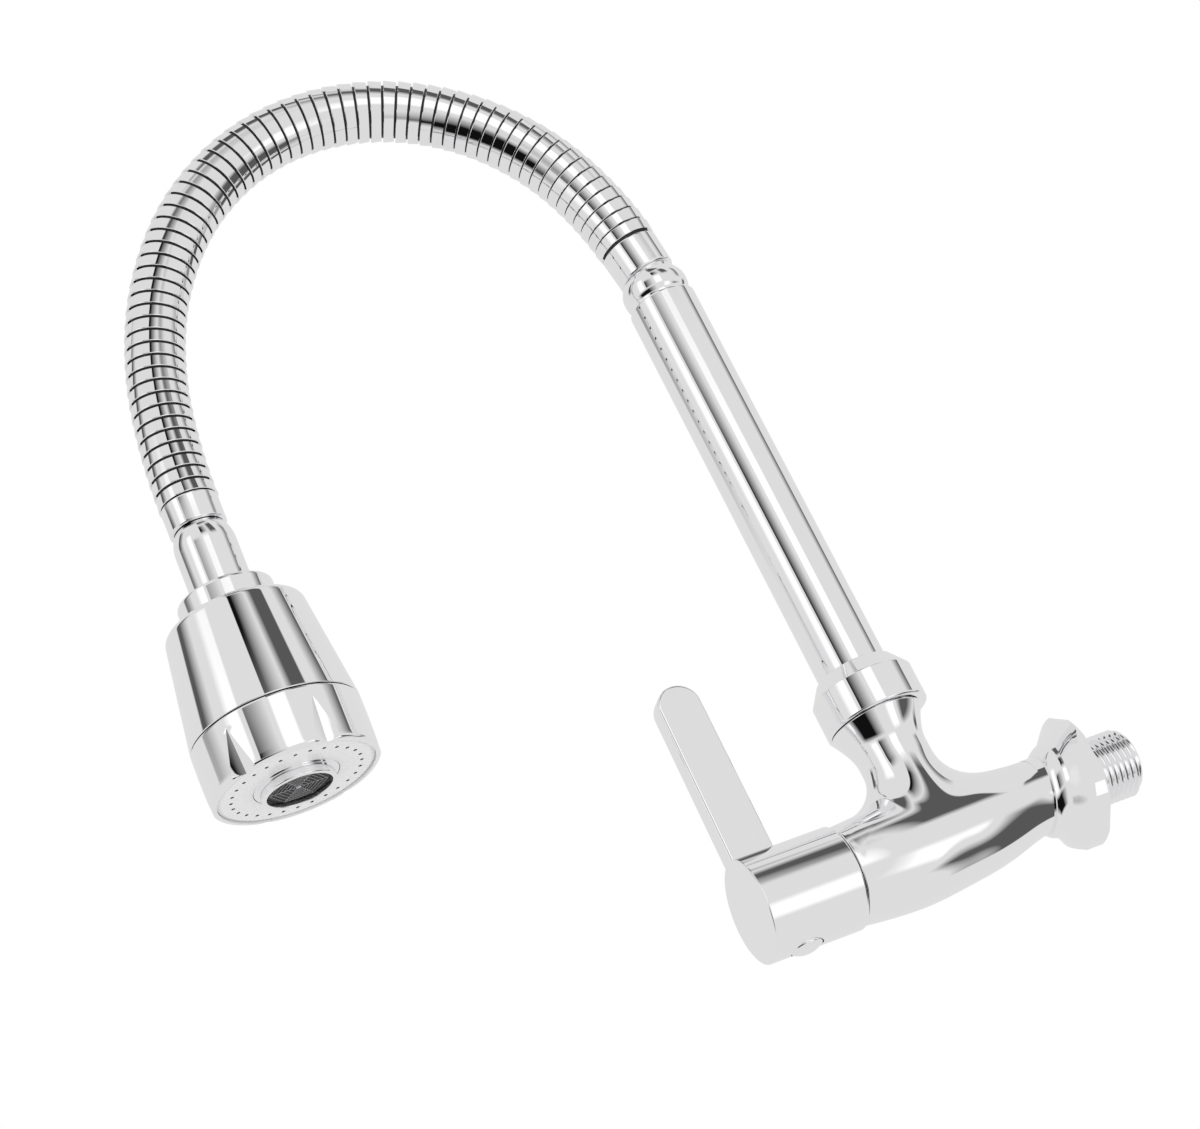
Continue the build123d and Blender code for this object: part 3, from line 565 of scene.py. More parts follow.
FINISHES = (
    Finish(
        "Polished chromium", Slot.CHROME, colour=(0.93, 0.93, 0.94), worn=(0.86, 0.86, 0.87),
        metallic=1.0, roughness=0.01, worn_roughness=0.03, wear=0.2,
        swell_scale=16.0, grain_scale=300.0, grain_share=0.01, bump=0.03,
    ),
    Finish(
        "Hose chromium", Slot.HOSE_CHROME, colour=(0.92, 0.92, 0.93), worn=(0.8, 0.8, 0.81),
        metallic=1.0, roughness=0.015, worn_roughness=0.05, wear=0.3,
        swell_scale=40.0, grain_scale=500.0, grain_share=0.02, bump=0.05,
    ),
    Finish(
        "Machined brass", Slot.BRASS, colour=(0.80, 0.62, 0.33), worn=(0.55, 0.40, 0.20),
        metallic=1.0, roughness=0.22, worn_roughness=0.4, wear=0.6,
        swell_scale=120.0, grain_scale=2500.0, grain_share=0.5, bump=0.3,
    ),
    # black rubber of the seals and nozzles; the same black on the aerator's cup is painted shade
    Finish(
        "Sealing rubber and painted shade", Slot.RUBBER, colour=(0.03, 0.03, 0.032), worn=(0.10, 0.10, 0.10),
        metallic=0.0, roughness=0.55, worn_roughness=0.8, wear=0.6,
        swell_scale=150.0, grain_scale=3500.0, grain_share=0.6, bump=0.4,
    ),
    Finish(
        "Lapped ceramic", Slot.CERAMIC, colour=(0.90, 0.90, 0.88), worn=(0.78, 0.77, 0.74),
        metallic=0.0, roughness=0.12, worn_roughness=0.25, wear=0.3,
        swell_scale=80.0, grain_scale=3000.0, grain_share=0.3, bump=0.1,
    ),
    Finish(
        "Moulded white plastic", Slot.WHITE_PLASTIC, colour=(0.84, 0.84, 0.82), worn=(0.72, 0.72, 0.69),
        metallic=0.0, roughness=0.4, worn_roughness=0.55, wear=0.4,
        swell_scale=90.0, grain_scale=2600.0, grain_share=0.5, bump=0.25,
    ),
    # dark rubber of the water hose; the same colour on the sleeve under the bands is painted shade
    Finish(
        "Dark hose rubber and painted shade", Slot.HOSE_RUBBER, colour=(0.045, 0.045, 0.05), worn=(0.12, 0.12, 0.12),
        metallic=0.0, roughness=0.5, worn_roughness=0.75, wear=0.5,
        swell_scale=110.0, grain_scale=3200.0, grain_share=0.5, bump=0.35,
    ),
    Finish(
        "Satin spray plate", Slot.GREY_PLASTIC, colour=(0.93, 0.93, 0.935), worn=(0.88, 0.88, 0.89),
        metallic=0.0, roughness=0.22, worn_roughness=0.35, wear=0.3,
        swell_scale=60.0, grain_scale=4200.0, grain_share=0.5, bump=0.12,
    ),
    Finish(
        "Dark mesh steel", Slot.MESH_STEEL, colour=(0.5, 0.5, 0.51), worn=(0.36, 0.36, 0.37),
        metallic=0.9, roughness=0.25, worn_roughness=0.4, wear=0.6,
        swell_scale=140.0, grain_scale=3600.0, grain_share=0.5, bump=0.2,
    ),
    Finish(
        "Screw steel", Slot.SCREW_STEEL, colour=(0.42, 0.42, 0.43), worn=(0.25, 0.22, 0.2),
        metallic=1.0, roughness=0.3, worn_roughness=0.5, wear=0.6,
        swell_scale=140.0, grain_scale=2600.0, grain_share=0.5, bump=0.3,
    ),
)


class Dresser:
    """Gives pieces their finish, their place on a body and the nodes that they stand for."""

    def __init__(self, record: dict) -> None:
        """Build the materials and look up each node's slot in the record."""
        effects = Effects()
        self.materials = {finish.slot: finish.material(effects) for finish in FINISHES}
        self.slots = {part["node"]: Slot(part["material_slot"]) for part in record["subparts"]}
        self.count = 0

    def paint(self, piece: bpy.types.Object, slot: Slot) -> None:
        """Give a piece the finish of a slot."""
        piece.data.materials.clear()
        piece.data.materials.append(self.materials[slot])

    def dress(self, piece: bpy.types.Object, slot: Slot, body: Body, *stands_for: str) -> None:
        """Finish a new piece and let it ride.

        Args:
            piece: The new piece.
            slot: The record's slot whose finish it takes.
            body: The body that it rides on.
            stands_for: The nodes that it replaces.
        """
        self.paint(piece, slot)
        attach(piece, body.value)
        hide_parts(*stands_for)
        self.log(piece)

    def bend(
        self, piece: bpy.types.Object, slot: Slot, pair: tuple[str, str], ends: tuple, *stands_for: str
    ) -> None:
        """Finish a piece that runs between two bodies, fix its shape where it stands and hide the nodes that
        it replaces.

        Args:
            piece: The new piece, in its final shape.
            slot: The record's slot whose finish it takes.
            pair: The bodies at its two ends; not used.
            ends: The points at its two ends.
            stands_for: The nodes that it replaces.
        """
        self.paint(piece, slot)
        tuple(ends[0])
        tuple(ends[1])
        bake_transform(piece)
        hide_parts(*stands_for)
        self.log(piece)

    def carry_over(self, nodes: dict) -> None:
        """Give every node that still shows the finish of its slot."""
        for name, node in nodes.items():
            self.paint(node, self.slots[name])

    def log(self, piece: bpy.types.Object) -> None:
        """Report one finished piece."""
        self.count += 1
        LOG.info("piece %d: %s, %d faces", self.count, piece.name, len(piece.data.polygons))


@dataclass
class Casting:
    """The chromed casting: a swelling barrel, the upright branch and the smooth crotch between."""

    rear: float = 9.0
    neck_radius: float = 11.5
    neck_length: float = 15.5
    body_length: float = 80.0
    belly_radius: float = 16.2
    front_radius: float = 14.9
    chamber_drop: float = 3.6
    chamber_radius: float = 10.2
    chamber_depth: float = 12.0
    branch_offset: float = 48.6
    riser_offset: float = 47.6
    branch_radius: float = 10.8
    crotch_round: float = 13.2
    waist_height: float = 27.0
    top_radius: float = 14.6
    top_height: float = 37.4
    stub_radius: float = 13.0
    stub_top: float = 46.8
    bore_radius: float = 8.0
    side_spread: float = 0.36
    side_start: float = 25.6
    sweep_hold: float = 7.3
    sweep_aim: float = 0.03
    sectors: int = 72
    blank_radius: float = 10.0
    hole_half_angle: float = 90.0
    hole_half_length: float = 29.0
    row_length: float = 1.45
    front_row_length: float = 0.7
    rear_rows: int = 7
    strip_rows: int = 5
    crotch_rows: int = 16
    wall_rows: int = 4
    flare_rows: tuple[float, ...] = (0.12, 0.24, 0.36, 0.48, 0.6, 0.72, 0.84, 0.93, 0.965, 0.98)
    top_rim: tuple[tuple[float, float], ...] = ((0.10, 0.04), (0.32, 0.0), (0.55, 0.0), (1.2, 0.0))
    front_rows: tuple[float, ...] = (1.6, 0.8, 0.35)
    front_rim: tuple[tuple[float, float], ...] = ((0.12, 0.08), (0.4, 0.0), (1.0, 0.0))
    nearness: float = 0.01
    crisp_angle: float = 30.0
    radius: Smooth = field(init=False)
    drop: Smooth = field(init=False)
    flare: Smooth = field(init=False)

    def __post_init__(self) -> None:
        """Set up the barrel's and the branch's own curves."""
        neck, belly, drop = self.neck_radius, self.belly_radius, self.chamber_drop
        stations = (  # share of the barrel behind its neck, radius, drop of its middle
            (-0.12, neck - 0.4, 0.4),
            (0.0, neck - 0.1, 0.9),
            (0.15, neck + 1.5, 1.9),
            (0.30, belly - 1.6, 2.5),
            (0.45, belly - 0.8, 3.0),
            (0.62, belly - 0.1, drop - 0.1),
            (0.80, belly - 0.3, drop + 0.1),
            (1.0, self.front_radius, drop),
        )
        stretch = self.body_length - self.neck_length
        places = [self.neck_length + share * stretch for share, _, _ in stations]
        self.radius = Smooth(places, [radius for _, radius, _ in stations])
        self.drop = Smooth(places, [drop for _, _, drop in stations])
        swell = self.top_radius - self.branch_radius
        widening = ((-0.5, 0.0), (-0.25, 0.0), (0.0, 0.0), (0.5, 0.34), (1.0, 1.0))
        heights = [self.on_flare(share) for share, _ in widening]
        self.flare = Smooth(heights, [self.branch_radius + swell * share for _, share in widening])

    def on_flare(self, share: float) -> float:
        """Height of a share of the branch's flare, from the waist at 0 to the rim at 1."""
        return self.waist_height + (self.top_height - self.waist_height) * share

    def on_barrel(self, turn: float, distance: float) -> Vector:
        """Point of the barrel at a turn from its top and a distance ahead of the wall."""
        reach = self.radius.at(distance)
        height = reach * math.cos(turn) - self.drop.at(distance)
        return Vector((reach * math.sin(turn), -distance, height))

    def seen(self, place: Vector) -> tuple[float, float]:
        """Turn from the barrel's top and distance ahead of the wall of a point of the barrel."""
        ahead = -place.y
        return math.atan2(place.x, place.z + self.drop.at(ahead)), ahead

    def crotch(self, around: float, share: float) -> Vector:
        """Point of the crotch's sweep, from the barrel at 0 to the branch at 1.

        Args:
            around: Direction round the branch; 0 is its side and a right angle its front.
            share: Place along the sweep.

        Returns:
            The point in mm.
        """
        out = self.branch_radius + self.crotch_round
        ahead = self.branch_offset + out * math.sin(around)
        sideways = out * math.cos(around)
        far = self.radius.at(ahead) + self.crotch_round
        side = math.cos(around) ** 2
        turn = math.asin(sideways / far) * (1 + self.side_spread * side)
        foot = self.on_barrel(turn, ahead)
        height = math.sqrt(far * far - sideways * sideways) - self.drop.at(ahead)
        wall = self.branch(around, height + (self.side_start - height) * side)
        aim = self.sweep_aim
        inward = self.on_barrel((1 - aim) * turn, ahead + aim * (self.branch_offset - ahead)) - foot
        over_foot = foot + inward.normalized() * self.sweep_hold
        under_wall = wall - UP * self.sweep_hold
        left = 1 - share
        low = foot * left**3 + over_foot * (3 * left * left * share)
        return low + under_wall * (3 * left * share * share) + wall * share**3

    def strip(self, turn: float, distance: float, share: float) -> Vector:
        """Point of the barrel between the grid's hole and the crotch's foot.

        Args:
            turn: Turn of the hole's edge from the barrel's top.
            distance: Distance of the hole's edge ahead of the wall.
            share: Place on the way, 0 at the hole and 1 at the foot.

        Returns:
            The point in mm.
        """
        foot = self.crotch(self.around(turn, distance), 0.0)
        ahead = -foot.y
        foot_turn = math.asin(foot.x / self.radius.at(ahead))
        return self.on_barrel(turn + (foot_turn - turn) * share, distance + (ahead - distance) * share)

    def around(self, turn: float, distance: float) -> float:
        """Direction round the branch that a point of the barrel's grid looks from."""
        out = self.branch_radius + self.crotch_round
        far = self.radius.at(self.branch_offset) + self.crotch_round
        widest = math.asin(out / far) * (1 + self.side_spread)
        return math.atan2((distance - self.branch_offset) / out, turn / widest)

    def branch(self, around: float, height: float) -> Vector:
        """Point of the branch's wall."""
        reach = self.flare.at(height) if height > self.waist_height else self.branch_radius
        return self.ring(around, reach, height)

    def up_the_wall(self, around: float, share: float) -> Vector:
        """Point of the branch's wall between the crotch's end at 0 and the waist at 1."""
        low = self.crotch(around, 1.0).z
        return self.branch(around, low + (self.waist_height - low) * share)

    def ring(self, around: float, radius: float, height: float, on_riser: bool = False) -> Vector:
        """Point of a ring about the branch's or the riser's axis."""
        offset = self.riser_offset if on_riser else self.branch_offset
        return Vector((radius * math.cos(around), -offset - radius * math.sin(around), height))

    def chamber(self, turn: float, radius: float, ahead: float) -> Vector:
        """Point of a ring about the cartridge's axis."""
        return Vector((radius * math.sin(turn), -ahead, radius * math.cos(turn) - self.chamber_drop))

    def rows(self) -> list[float]:
        """Distances of the barrel's rings from the wall, back to front."""
        first = self.branch_offset - self.hole_half_length
        count = round(2 * self.hole_half_length / self.row_length)
        rows = [self.rear + (first - self.rear) * step / self.rear_rows for step in range(self.rear_rows)]
        rows += [first + self.row_length * step for step in range(count + 1)]
        return [*rows, first + 2 * self.hole_half_length + self.front_row_length]

    def barrel_grid(self, mesh: bmesh.types.BMesh) -> None:
        """Spin the barrel's rings and move them to its swelling, dropping shape."""
        spun(mesh, [(self.blank_radius, row) for row in self.rows()], False, self.sectors)
        for vertex in mesh.verts:
            turn = math.atan2(vertex.co.x, vertex.co.y)
            vertex.co = self.on_barrel(turn, vertex.co.z)

    def cut_hole(self, mesh: bmesh.types.BMesh) -> dict:
        """Remove the barrel's faces under the branch.

        Args:
            mesh: The barrel's grid.

        Returns:
            The points round the hole, each with its turn, its distance and its direction.
        """
        half = math.radians(self.hole_half_angle)
        unwanted = []
        for face in mesh.faces:
            turn, ahead = self.seen(face.calc_center_median())
            if abs(turn) < half and abs(ahead - self.branch_offset) < self.hole_half_length:
                unwanted.append(face)
        bmesh.ops.delete(mesh, geom=unwanted, context="FACES")
        loop = {}
        for vertex in (v for v in mesh.verts if v.is_boundary):
            turn, ahead = self.seen(vertex.co)
            beside = abs(ahead - self.branch_offset) < self.hole_half_length + self.nearness
            if beside and abs(turn) < half + self.nearness:
                loop[vertex] = (turn, ahead, self.around(turn, ahead))
        return loop

    def open_edges(self, mesh: bmesh.types.BMesh, loop: dict) -> list[bmesh.types.BMEdge]:
        """Boundary edges between the points of a loop."""
        members = set(loop)
        return [e for e in mesh.edges if e.is_boundary and set(e.verts) <= members]

    def grown(self, mesh: bmesh.types.BMesh, loop: dict, rows: Iterable[Callable[..., Vector]]) -> None:
        """Extrude a loop row by row, move the new points to their places and close the last row.

        Args:
            mesh: The mesh.
            loop: Each point of the loop with what names its place.
            rows: For each row, what gives the place for such a name.
        """
        for place in rows:
            made = bmesh.ops.extrude_edge_only(mesh, edges=self.open_edges(mesh, loop))
            fresh = {}
            for vertex in only(bmesh.types.BMVert, made["geom"]):
                before = next(e.other_vert(vertex) for e in vertex.link_edges if e.other_vert(vertex) in loop)
                fresh[vertex] = loop[before]
            for vertex, name in fresh.items():
                vertex.co = place(name)
            loop = fresh
        bmesh.ops.edgeloop_fill(mesh, edges=self.open_edges(mesh, loop))

    def crotch_and_branch(self, mesh: bmesh.types.BMesh, loop: dict) -> None:
        """Grow the strip, the crotch, the branch and the stub from the barrel's hole.

        Args:
            mesh: The barrel's grid.
            loop: The points round its hole, with their turn, distance and direction.
        """
        rings = [(self.top_radius - inward, self.top_height - down) for inward, down in self.top_rim]
        stub = (
            (self.stub_radius, self.top_height, True),
            (self.stub_radius, self.stub_top, True),
            (self.bore_radius, self.stub_top, True),
            (self.bore_radius, self.top_height, True),
        )
        rows = [lambda n, s=share: self.strip(n[0], n[1], s) for share in shares(self.strip_rows)]
        rows += [lambda n, s=share: self.crotch(n[2], s) for share in shares(self.crotch_rows)]
        rows += [lambda n, s=share: self.up_the_wall(n[2], s) for share in shares(self.wall_rows)]
        rows += [lambda n, s=share: self.branch(n[2], self.on_flare(s)) for share in self.flare_rows]
        rows += [lambda n, r=ring: self.ring(n[2], *r) for ring in (*rings, *stub)]
        self.grown(mesh, loop, rows)

    def front_end(self, mesh: bmesh.types.BMesh) -> None:
        """Round the front rim and turn it into the cartridge's chamber."""
        farthest = max(-v.co.y for v in mesh.verts if v.is_boundary)
        front = [v for v in mesh.verts if v.is_boundary and farthest + v.co.y < self.nearness]
        ring = {vertex: self.seen(vertex.co)[0] for vertex in front}
        length = self.body_length
        rings = [(self.front_radius - inward, length - back) for inward, back in self.front_rim]
        rings += [(self.chamber_radius, length), (self.chamber_radius, length - self.chamber_depth)]
        rows = [lambda turn, a=length - back: self.on_barrel(turn, a) for back in self.front_rows]
        rows += [lambda turn, r=ring: self.chamber(turn, *r) for ring in rings]
        self.grown(mesh, ring, rows)

    def rear_end(self, mesh: bmesh.types.BMesh) -> None:
        """Close the barrel's rear ring, inside the flange."""
        ring = {v: None for v in mesh.verts if v.is_boundary and -v.co.y < self.rear + self.nearness}
        self.grown(mesh, ring, ())

    def build(self) -> bpy.types.Object:
        """Build the whole casting as one smooth shell."""
        mesh = bmesh.new()
        self.barrel_grid(mesh)
        self.crotch_and_branch(mesh, self.cut_hole(mesh))
        self.front_end(mesh)
        self.rear_end(mesh)
        bmesh.ops.scale(mesh, vec=(MM, MM, MM), verts=mesh.verts)
        close_mesh(mesh, self.crisp_angle)
        piece = as_object(mesh, "body_casting")
        smooth = piece.modifiers.new("fine skin", "SUBSURF")
        smooth.levels = smooth.render_levels = 1
        return piece


@dataclass
class WrenchFlange:
    """The hexagonal flange with its cone and neck bead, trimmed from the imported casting."""

    rear: float = 0.02
    front: float = 14.6
    keep_radius: float = 7.6
    merge_gap: float = 0.002
    slack: float = 1e-7
    crisp_angle: float = 22.0

    def build(self, casting: bpy.types.Object) -> bpy.types.Object:
        """Trim a merged copy of the casting's node to the flange.

        Args:
            casting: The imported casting.

        Returns:
            The flange as a piece of its own.
        """
        mesh = bmesh.new()
        mesh.from_mesh(casting.data)
        bmesh.ops.remove_doubles(mesh, verts=mesh.verts, dist=self.merge_gap * MM)
        bore = []
        for face in mesh.faces:
            reach = max(math.hypot(v.co.x, v.co.z) for v in face.verts)
            if reach < self.keep_radius * MM:
                bore.append(face)
        bmesh.ops.delete(mesh, geom=bore, context="FACES")
        slice_off(mesh, (0, -self.front * MM, 0), (0, -1, 0), self.slack)
        slice_off(mesh, (0, self.rear * MM, 0), (0, 1, 0), self.slack)
        close_mesh(mesh, self.crisp_angle, outward=False)
        return as_object(mesh, "wrench_flange")


@dataclass
class PipeThread:
    """The outside pipe thread with its real helical turns and the inlet bore."""

    crest_radius: float = 10.4775
    crest_relief: float = 0.06
    root_radius: float = 9.32
    pitch: float = 1.814
    length: float = 18.0
    overlap: float = 0.5
    lead: float = 0.5
    lead_drop: float = 0.35
    lead_slope: float = 1.25
    tip_drop: float = 0.75
    runout: float = 1.9
    runout_rise: float = 0.25
    bore_radius: float = 7.2
    bore_depth: float = 30.0
    sectors: int = 72
    slack: float = 1e-5
    merge_gap: float = 0.01
    crisp_angle: float = 40.0

    def build(self) -> bpy.types.Object:
        """Sweep one tooth along the helix and close the tip and the bore."""
        root, crest, shoulder = self.root_radius, self.crest_radius, self.crest_radius - self.crest_relief
        tooth = (  # radius, share of the pitch
            (root, 0.0), (root, 0.10), (shoulder, 0.44), (crest, 0.48),
            (crest, 0.54), (shoulder, 0.58), (root, 0.92), (root, 1.0),
        )
        mesh = bmesh.new()
        outline = [(radius, share * self.pitch) for radius, share in tooth]
        turns = math.ceil(self.length / self.pitch)
        spun(mesh, outline, False, self.sectors, turns, self.pitch / self.sectors)
        bmesh.ops.remove_doubles(mesh, verts=mesh.verts, dist=self.merge_gap)
        slice_off(mesh, (0, 0, self.length - self.lead), (0, 0, 1), self.slack)
        slice_off(mesh, (0, 0, -self.overlap), (0, 0, -1), self.slack)
        for vertex in mesh.verts:
            self.taper(vertex)
        tip, bottom = self.length, self.length - self.bore_depth
        wall = (
            (root - self.lead_drop, tip - self.lead, 0.0),
            (root - self.tip_drop, tip, 0.2),
            (self.bore_radius, tip, 0.25),
            (self.bore_radius, bottom, 0.0),
            (0.0, bottom, 0.0),
        )
        spun(mesh, softened(wall, False), False, self.sectors)
        return stood(mesh, "inlet_thread", Stance((0, 0, 0), (0, 1, 0)), self.crisp_angle)

    def taper(self, vertex: bmesh.types.BMVert) -> None:
        """Let the turns run out at the tip's lead and at the flange."""
        reach = math.hypot(vertex.co.x, vertex.co.y)
        left = self.length - self.lead - vertex.co.z
        limit = self.root_radius - self.lead_drop + self.lead_slope * max(left, 0.0)
        if vertex.co.z < self.runout:
            limit = min(limit, self.root_radius + self.runout_rise)
        if reach > limit:
            vertex.co.x *= limit / reach
            vertex.co.y *= limit / reach


@dataclass
class Riser:
    """The upright riser: nut, tube, bead and the leaning lower ferrule."""

    offset: float = 47.6
    nut_radius: float = 16.0
    nut_bottom: float = 37.7
    nut_shoulder: float = 49.1
    nut_top: float = 54.5
    nut_top_radius: float = 12.2
    nut_hole: float = 11.1
    nut_recess: float = 1.9
    nut_lip: float = 3.4
    tube_radius: float = 10.8
    tube_wall: float = 0.8
    tube_bottom: float = 50.1
    tube_top: float = 190.2
    roll_inset: float = 0.6
    roll_depth: float = 6.0
    core_radius: float = 6.0
    core_overlap: float = 1.0
    tail_step: float = 1.4
    tail_length: float = 2.2
    groove_radius: float = 9.5
    bead_radius: float = 10.55
    bead_bottom: float = 191.2
    bead_height: float = 8.2
    bead_rows: int = 20
    bead_crisp_angle: float = 35.0
    ferrule_bore: float = 6.8
    ferrule_radius: float = 9.1
    ferrule_mouth: float = 9.35
    ferrule_length: float = 11.25

    def stance(self) -> Stance:
        """The riser's own axis."""
        return Stance((0, -self.offset, 0), (0, 0, 1))

    def nut(self) -> bpy.types.Object:
        """Round nut with its chamfered shoulder."""
        lip = self.nut_top - self.nut_lip
        corners = (
            (self.nut_hole + self.nut_recess, self.nut_bottom, 0.0),
            (self.nut_radius, self.nut_bottom, 0.75),
            (self.nut_radius, self.nut_shoulder, 0.3),
            (self.nut_top_radius, self.nut_top, 0.35),
            (self.nut_hole, self.nut_top, 0.15),
            (self.nut_hole, lip, 0.0),
            (self.nut_hole + self.nut_recess, lip, 0.0),
        )
        return turned_piece("riser_round_nut", corners, self.stance())

    def tube(self) -> bpy.types.Object:
        """Polished tube with its rolled top."""
        inner = self.tube_radius - self.tube_wall
        rolled, low = inner - self.roll_inset, self.tube_top - self.roll_depth
        corners = (
            (inner, self.tube_bottom, 0.0),
            (self.tube_radius, self.tube_bottom, 0.2),
            (self.tube_radius, self.tube_top, 0.7),
            (rolled, self.tube_top, 0.0),
            (rolled, low, 0.0),
            (inner, low, 0.0),
        )
        return turned_piece("riser_polished_tube", corners, self.stance())

    def bead(self) -> bpy.types.Object:
        """Rounded bead between the tube and the ferrule, with the groove under it."""
        low, rise, core = self.bead_bottom, self.bead_height, self.core_radius
        high, tail = low + rise, self.groove_radius - self.tail_step
        groove, bead = self.groove_radius, self.bead_radius
        profile = Smooth(
            [low + rise * share for share in (0.0, 0.18, 0.42, 0.75, 1.0)],
            (groove + 0.05, bead - 0.33, bead, bead - 0.35, groove - 0.4),
        )
        foot, end = self.tube_top - self.core_overlap, high + self.tail_length
        outline = [(core, foot), (groove, foot), (groove, low)]
        heights = [low + rise * step / self.bead_rows for step in range(1, self.bead_rows + 1)]
        outline += [(profile.at(height), height) for height in heights]
        outline += [(tail, high + 0.1), (tail, end), (core, end)]
        return lathed("riser_bead", outline, self.stance(), limit=self.bead_crisp_angle)

    def ferrule(self, stance: Stance) -> bpy.types.Object:
        """Crimped lower sleeve on its leaning seat."""
        corners = (
            (self.ferrule_bore, 0.0, 0.0),
            (self.ferrule_radius, 0.0, 0.8),
            (self.ferrule_radius + 0.04, 2.4, 0.0),
            (self.ferrule_mouth, self.ferrule_length, 0.35),
            (self.ferrule_bore, self.ferrule_length, 0.0),
        )
        return turned_piece("ferrule_at_riser", corners, stance)


@dataclass
class Gooseneck:
    """The bendable hose: nine arcs in one plane, each a run of overlapping bands."""

    swivel: float = 7.0
    riser_offset: float = 47.6
    seat_height: float = 200.8
    seat_lean: float = 6.3
    seat_length: float = 11.6
    pitch: float = 4.375
    ribs: int = 7
    turns: tuple[float, ...] = (15.0, 20.4, 22.4, 25.7, 27.3, 22.4, 16.8, 13.2, 8.0)
    swell: tuple[float, ...] = (1.0, 1.0, 1.0, 1.0, 1.0, 0.99, 0.975, 0.965, 0.96)
    band_small: float = 9.42
    band_large: float = 9.79
    gap: float = 0.62
    shell_radius: float = 8.45
    # dark sleeve under the bands: painted shade that shows in the gaps between them
    shade_sleeve_radius: float = 8.3
    shade_sleeve_wall: float = 0.5
    shade_sleeve_setback: float = 0.2
    liner_radius: float = 5.6
    liner_bore: float = 4.2
    liner_tail: float = 8.0
    sectors: int = 72
    liner_sectors: int = 36
    band_crisp_angle: float = 9.0
    liner_crisp_angle: float = 40.0
    ribs_before_change: int = 3

    def __post_init__(self) -> None:
        """Work out where each arc starts."""
        turn = math.radians(self.swivel)
        self.forward = Vector((-math.sin(turn), -math.cos(turn), 0))
        self.across = Vector((math.cos(turn), -math.sin(turn), 0))
        self.foot = Vector((0, -self.riser_offset, 0))
        lean = math.radians(self.seat_lean)
        ahead = self.seat_length * math.sin(lean)
        height = self.seat_height + self.seat_length * math.cos(lean)
        self.starts = [(ahead, height, lean)]
        for degrees in self.turns:
            self.starts.append(self.along(self.starts[-1], math.radians(degrees), self.run_length()))

    def run_length(self) -> float:
        """Length of one arc."""
        return self.pitch * self.ribs

    def length(self) -> float:
        """Length of the whole hose."""
        return self.run_length() * len(self.turns)

    def along(self, start: Triple, turn: float, distance: float) -> Triple:
        """Place and lean on an arc that turns evenly over one run.

        Args:
            start: Distance ahead, height and lean where the arc starts.
            turn: Turn of the whole arc, in radians.
            distance: Millimetres along the arc.

        Returns:
            Distance ahead, height and lean there.
        """
        radius = self.run_length() / turn
        ahead, height, lean = start
        angle = distance / radius
        ahead += radius * (math.cos(lean) - math.cos(lean + angle))
        height += radius * (math.sin(lean + angle) - math.sin(lean))
        return ahead, height, lean + angle

    def place(self, distance: float) -> tuple[Vector, Vector]:
        """Centre and direction of the hose at a distance from its start.

        Args:
            distance: Millimetres along the hose; it runs on straight past both ends.

        Returns:
            The centre in mm and the unit direction.
        """
        inside = min(max(distance, 0.0), self.length())
        number = min(int(inside / self.run_length()), len(self.turns) - 1)
        rest = inside - number * self.run_length()
        ahead, height, lean = self.along(self.starts[number], math.radians(self.turns[number]), rest)
        direction = self.forward * math.sin(lean) + UP * math.cos(lean)
        centre = self.foot + self.forward * ahead + UP * height
        return centre + direction * (distance - inside), direction

    def width(self, distance: float) -> float:
        """Share of the full band size at a distance, which shrinks towards the head."""
        number = distance / self.run_length() - 0.5
        low = min(max(int(math.floor(number)), 0), len(self.swell) - 1)
        high = min(low + 1, len(self.swell) - 1)
        share = min(max(number - low, 0.0), 1.0)
        return self.swell[low] * (1 - share) + self.swell[high] * share

    def stance(self, distance: float) -> Stance:
        """Where a turned piece at this distance stands."""
        centre, direction = self.place(distance)
        return Stance(tuple(centre), tuple(direction), tuple(self.across))

    def point(self, distance: float) -> Triple:
        """Centre at a distance, in metres."""
        return tuple(self.place(distance)[0] * MM)

    def band(self, start: float) -> Outline:
        """Closed outline of one flared band, from the gap before it, where the dark sleeve paints the shade
        between bands, to its lip.
        """
        small, large, inner = self.band_small, self.band_large, self.shell_radius
        gap, lip = self.gap, self.pitch
        shape = (
            (inner, gap),
            (small - 0.14, gap),
            (small, gap + 0.12),
            (large - 0.02, lip - 0.2),
            (large - 0.05, lip - 0.07),
            (large - 0.18, lip),
            (inner, lip),
        )
        return [(radius * self.width(start), start + along) for radius, along in shape]

    def bent(self, mesh: bmesh.types.BMesh) -> None:
        """Bend a straight spun piece round the hose's arcs and turn it into metres."""
        for vertex in mesh.verts:
            centre, direction = self.place(vertex.co.z)
            out = direction.cross(self.across)
            vertex.co = (centre + self.across * vertex.co.x + out * vertex.co.y) * MM

    def span_ends(self) -> list[float]:
        """Distances where one blended span gives way to the next."""
        change = self.ribs_before_change * self.pitch
        middle = [change + number * self.run_length() for number in range(len(self.turns))]
        return [0.0, *middle, self.length()]

    def bands(self, number: int, low: float, high: float) -> bpy.types.Object:
        """Metal bands of one span, each a closed ring of its own.

        Args:
            number: Number of the span, from 1.
            low: Distance along the hose where the span starts.
            high: Distance where it ends.

        Returns:
            The bands as one piece.
        """
        mesh = bmesh.new()
        for rib in range(round((high - low) / self.pitch)):
            spun(mesh, self.band(low + rib * self.pitch), True, self.sectors)
        self.bent(mesh)
        close_mesh(mesh, self.band_crisp_angle)
        return as_object(mesh, f"hose_bands_{number}")

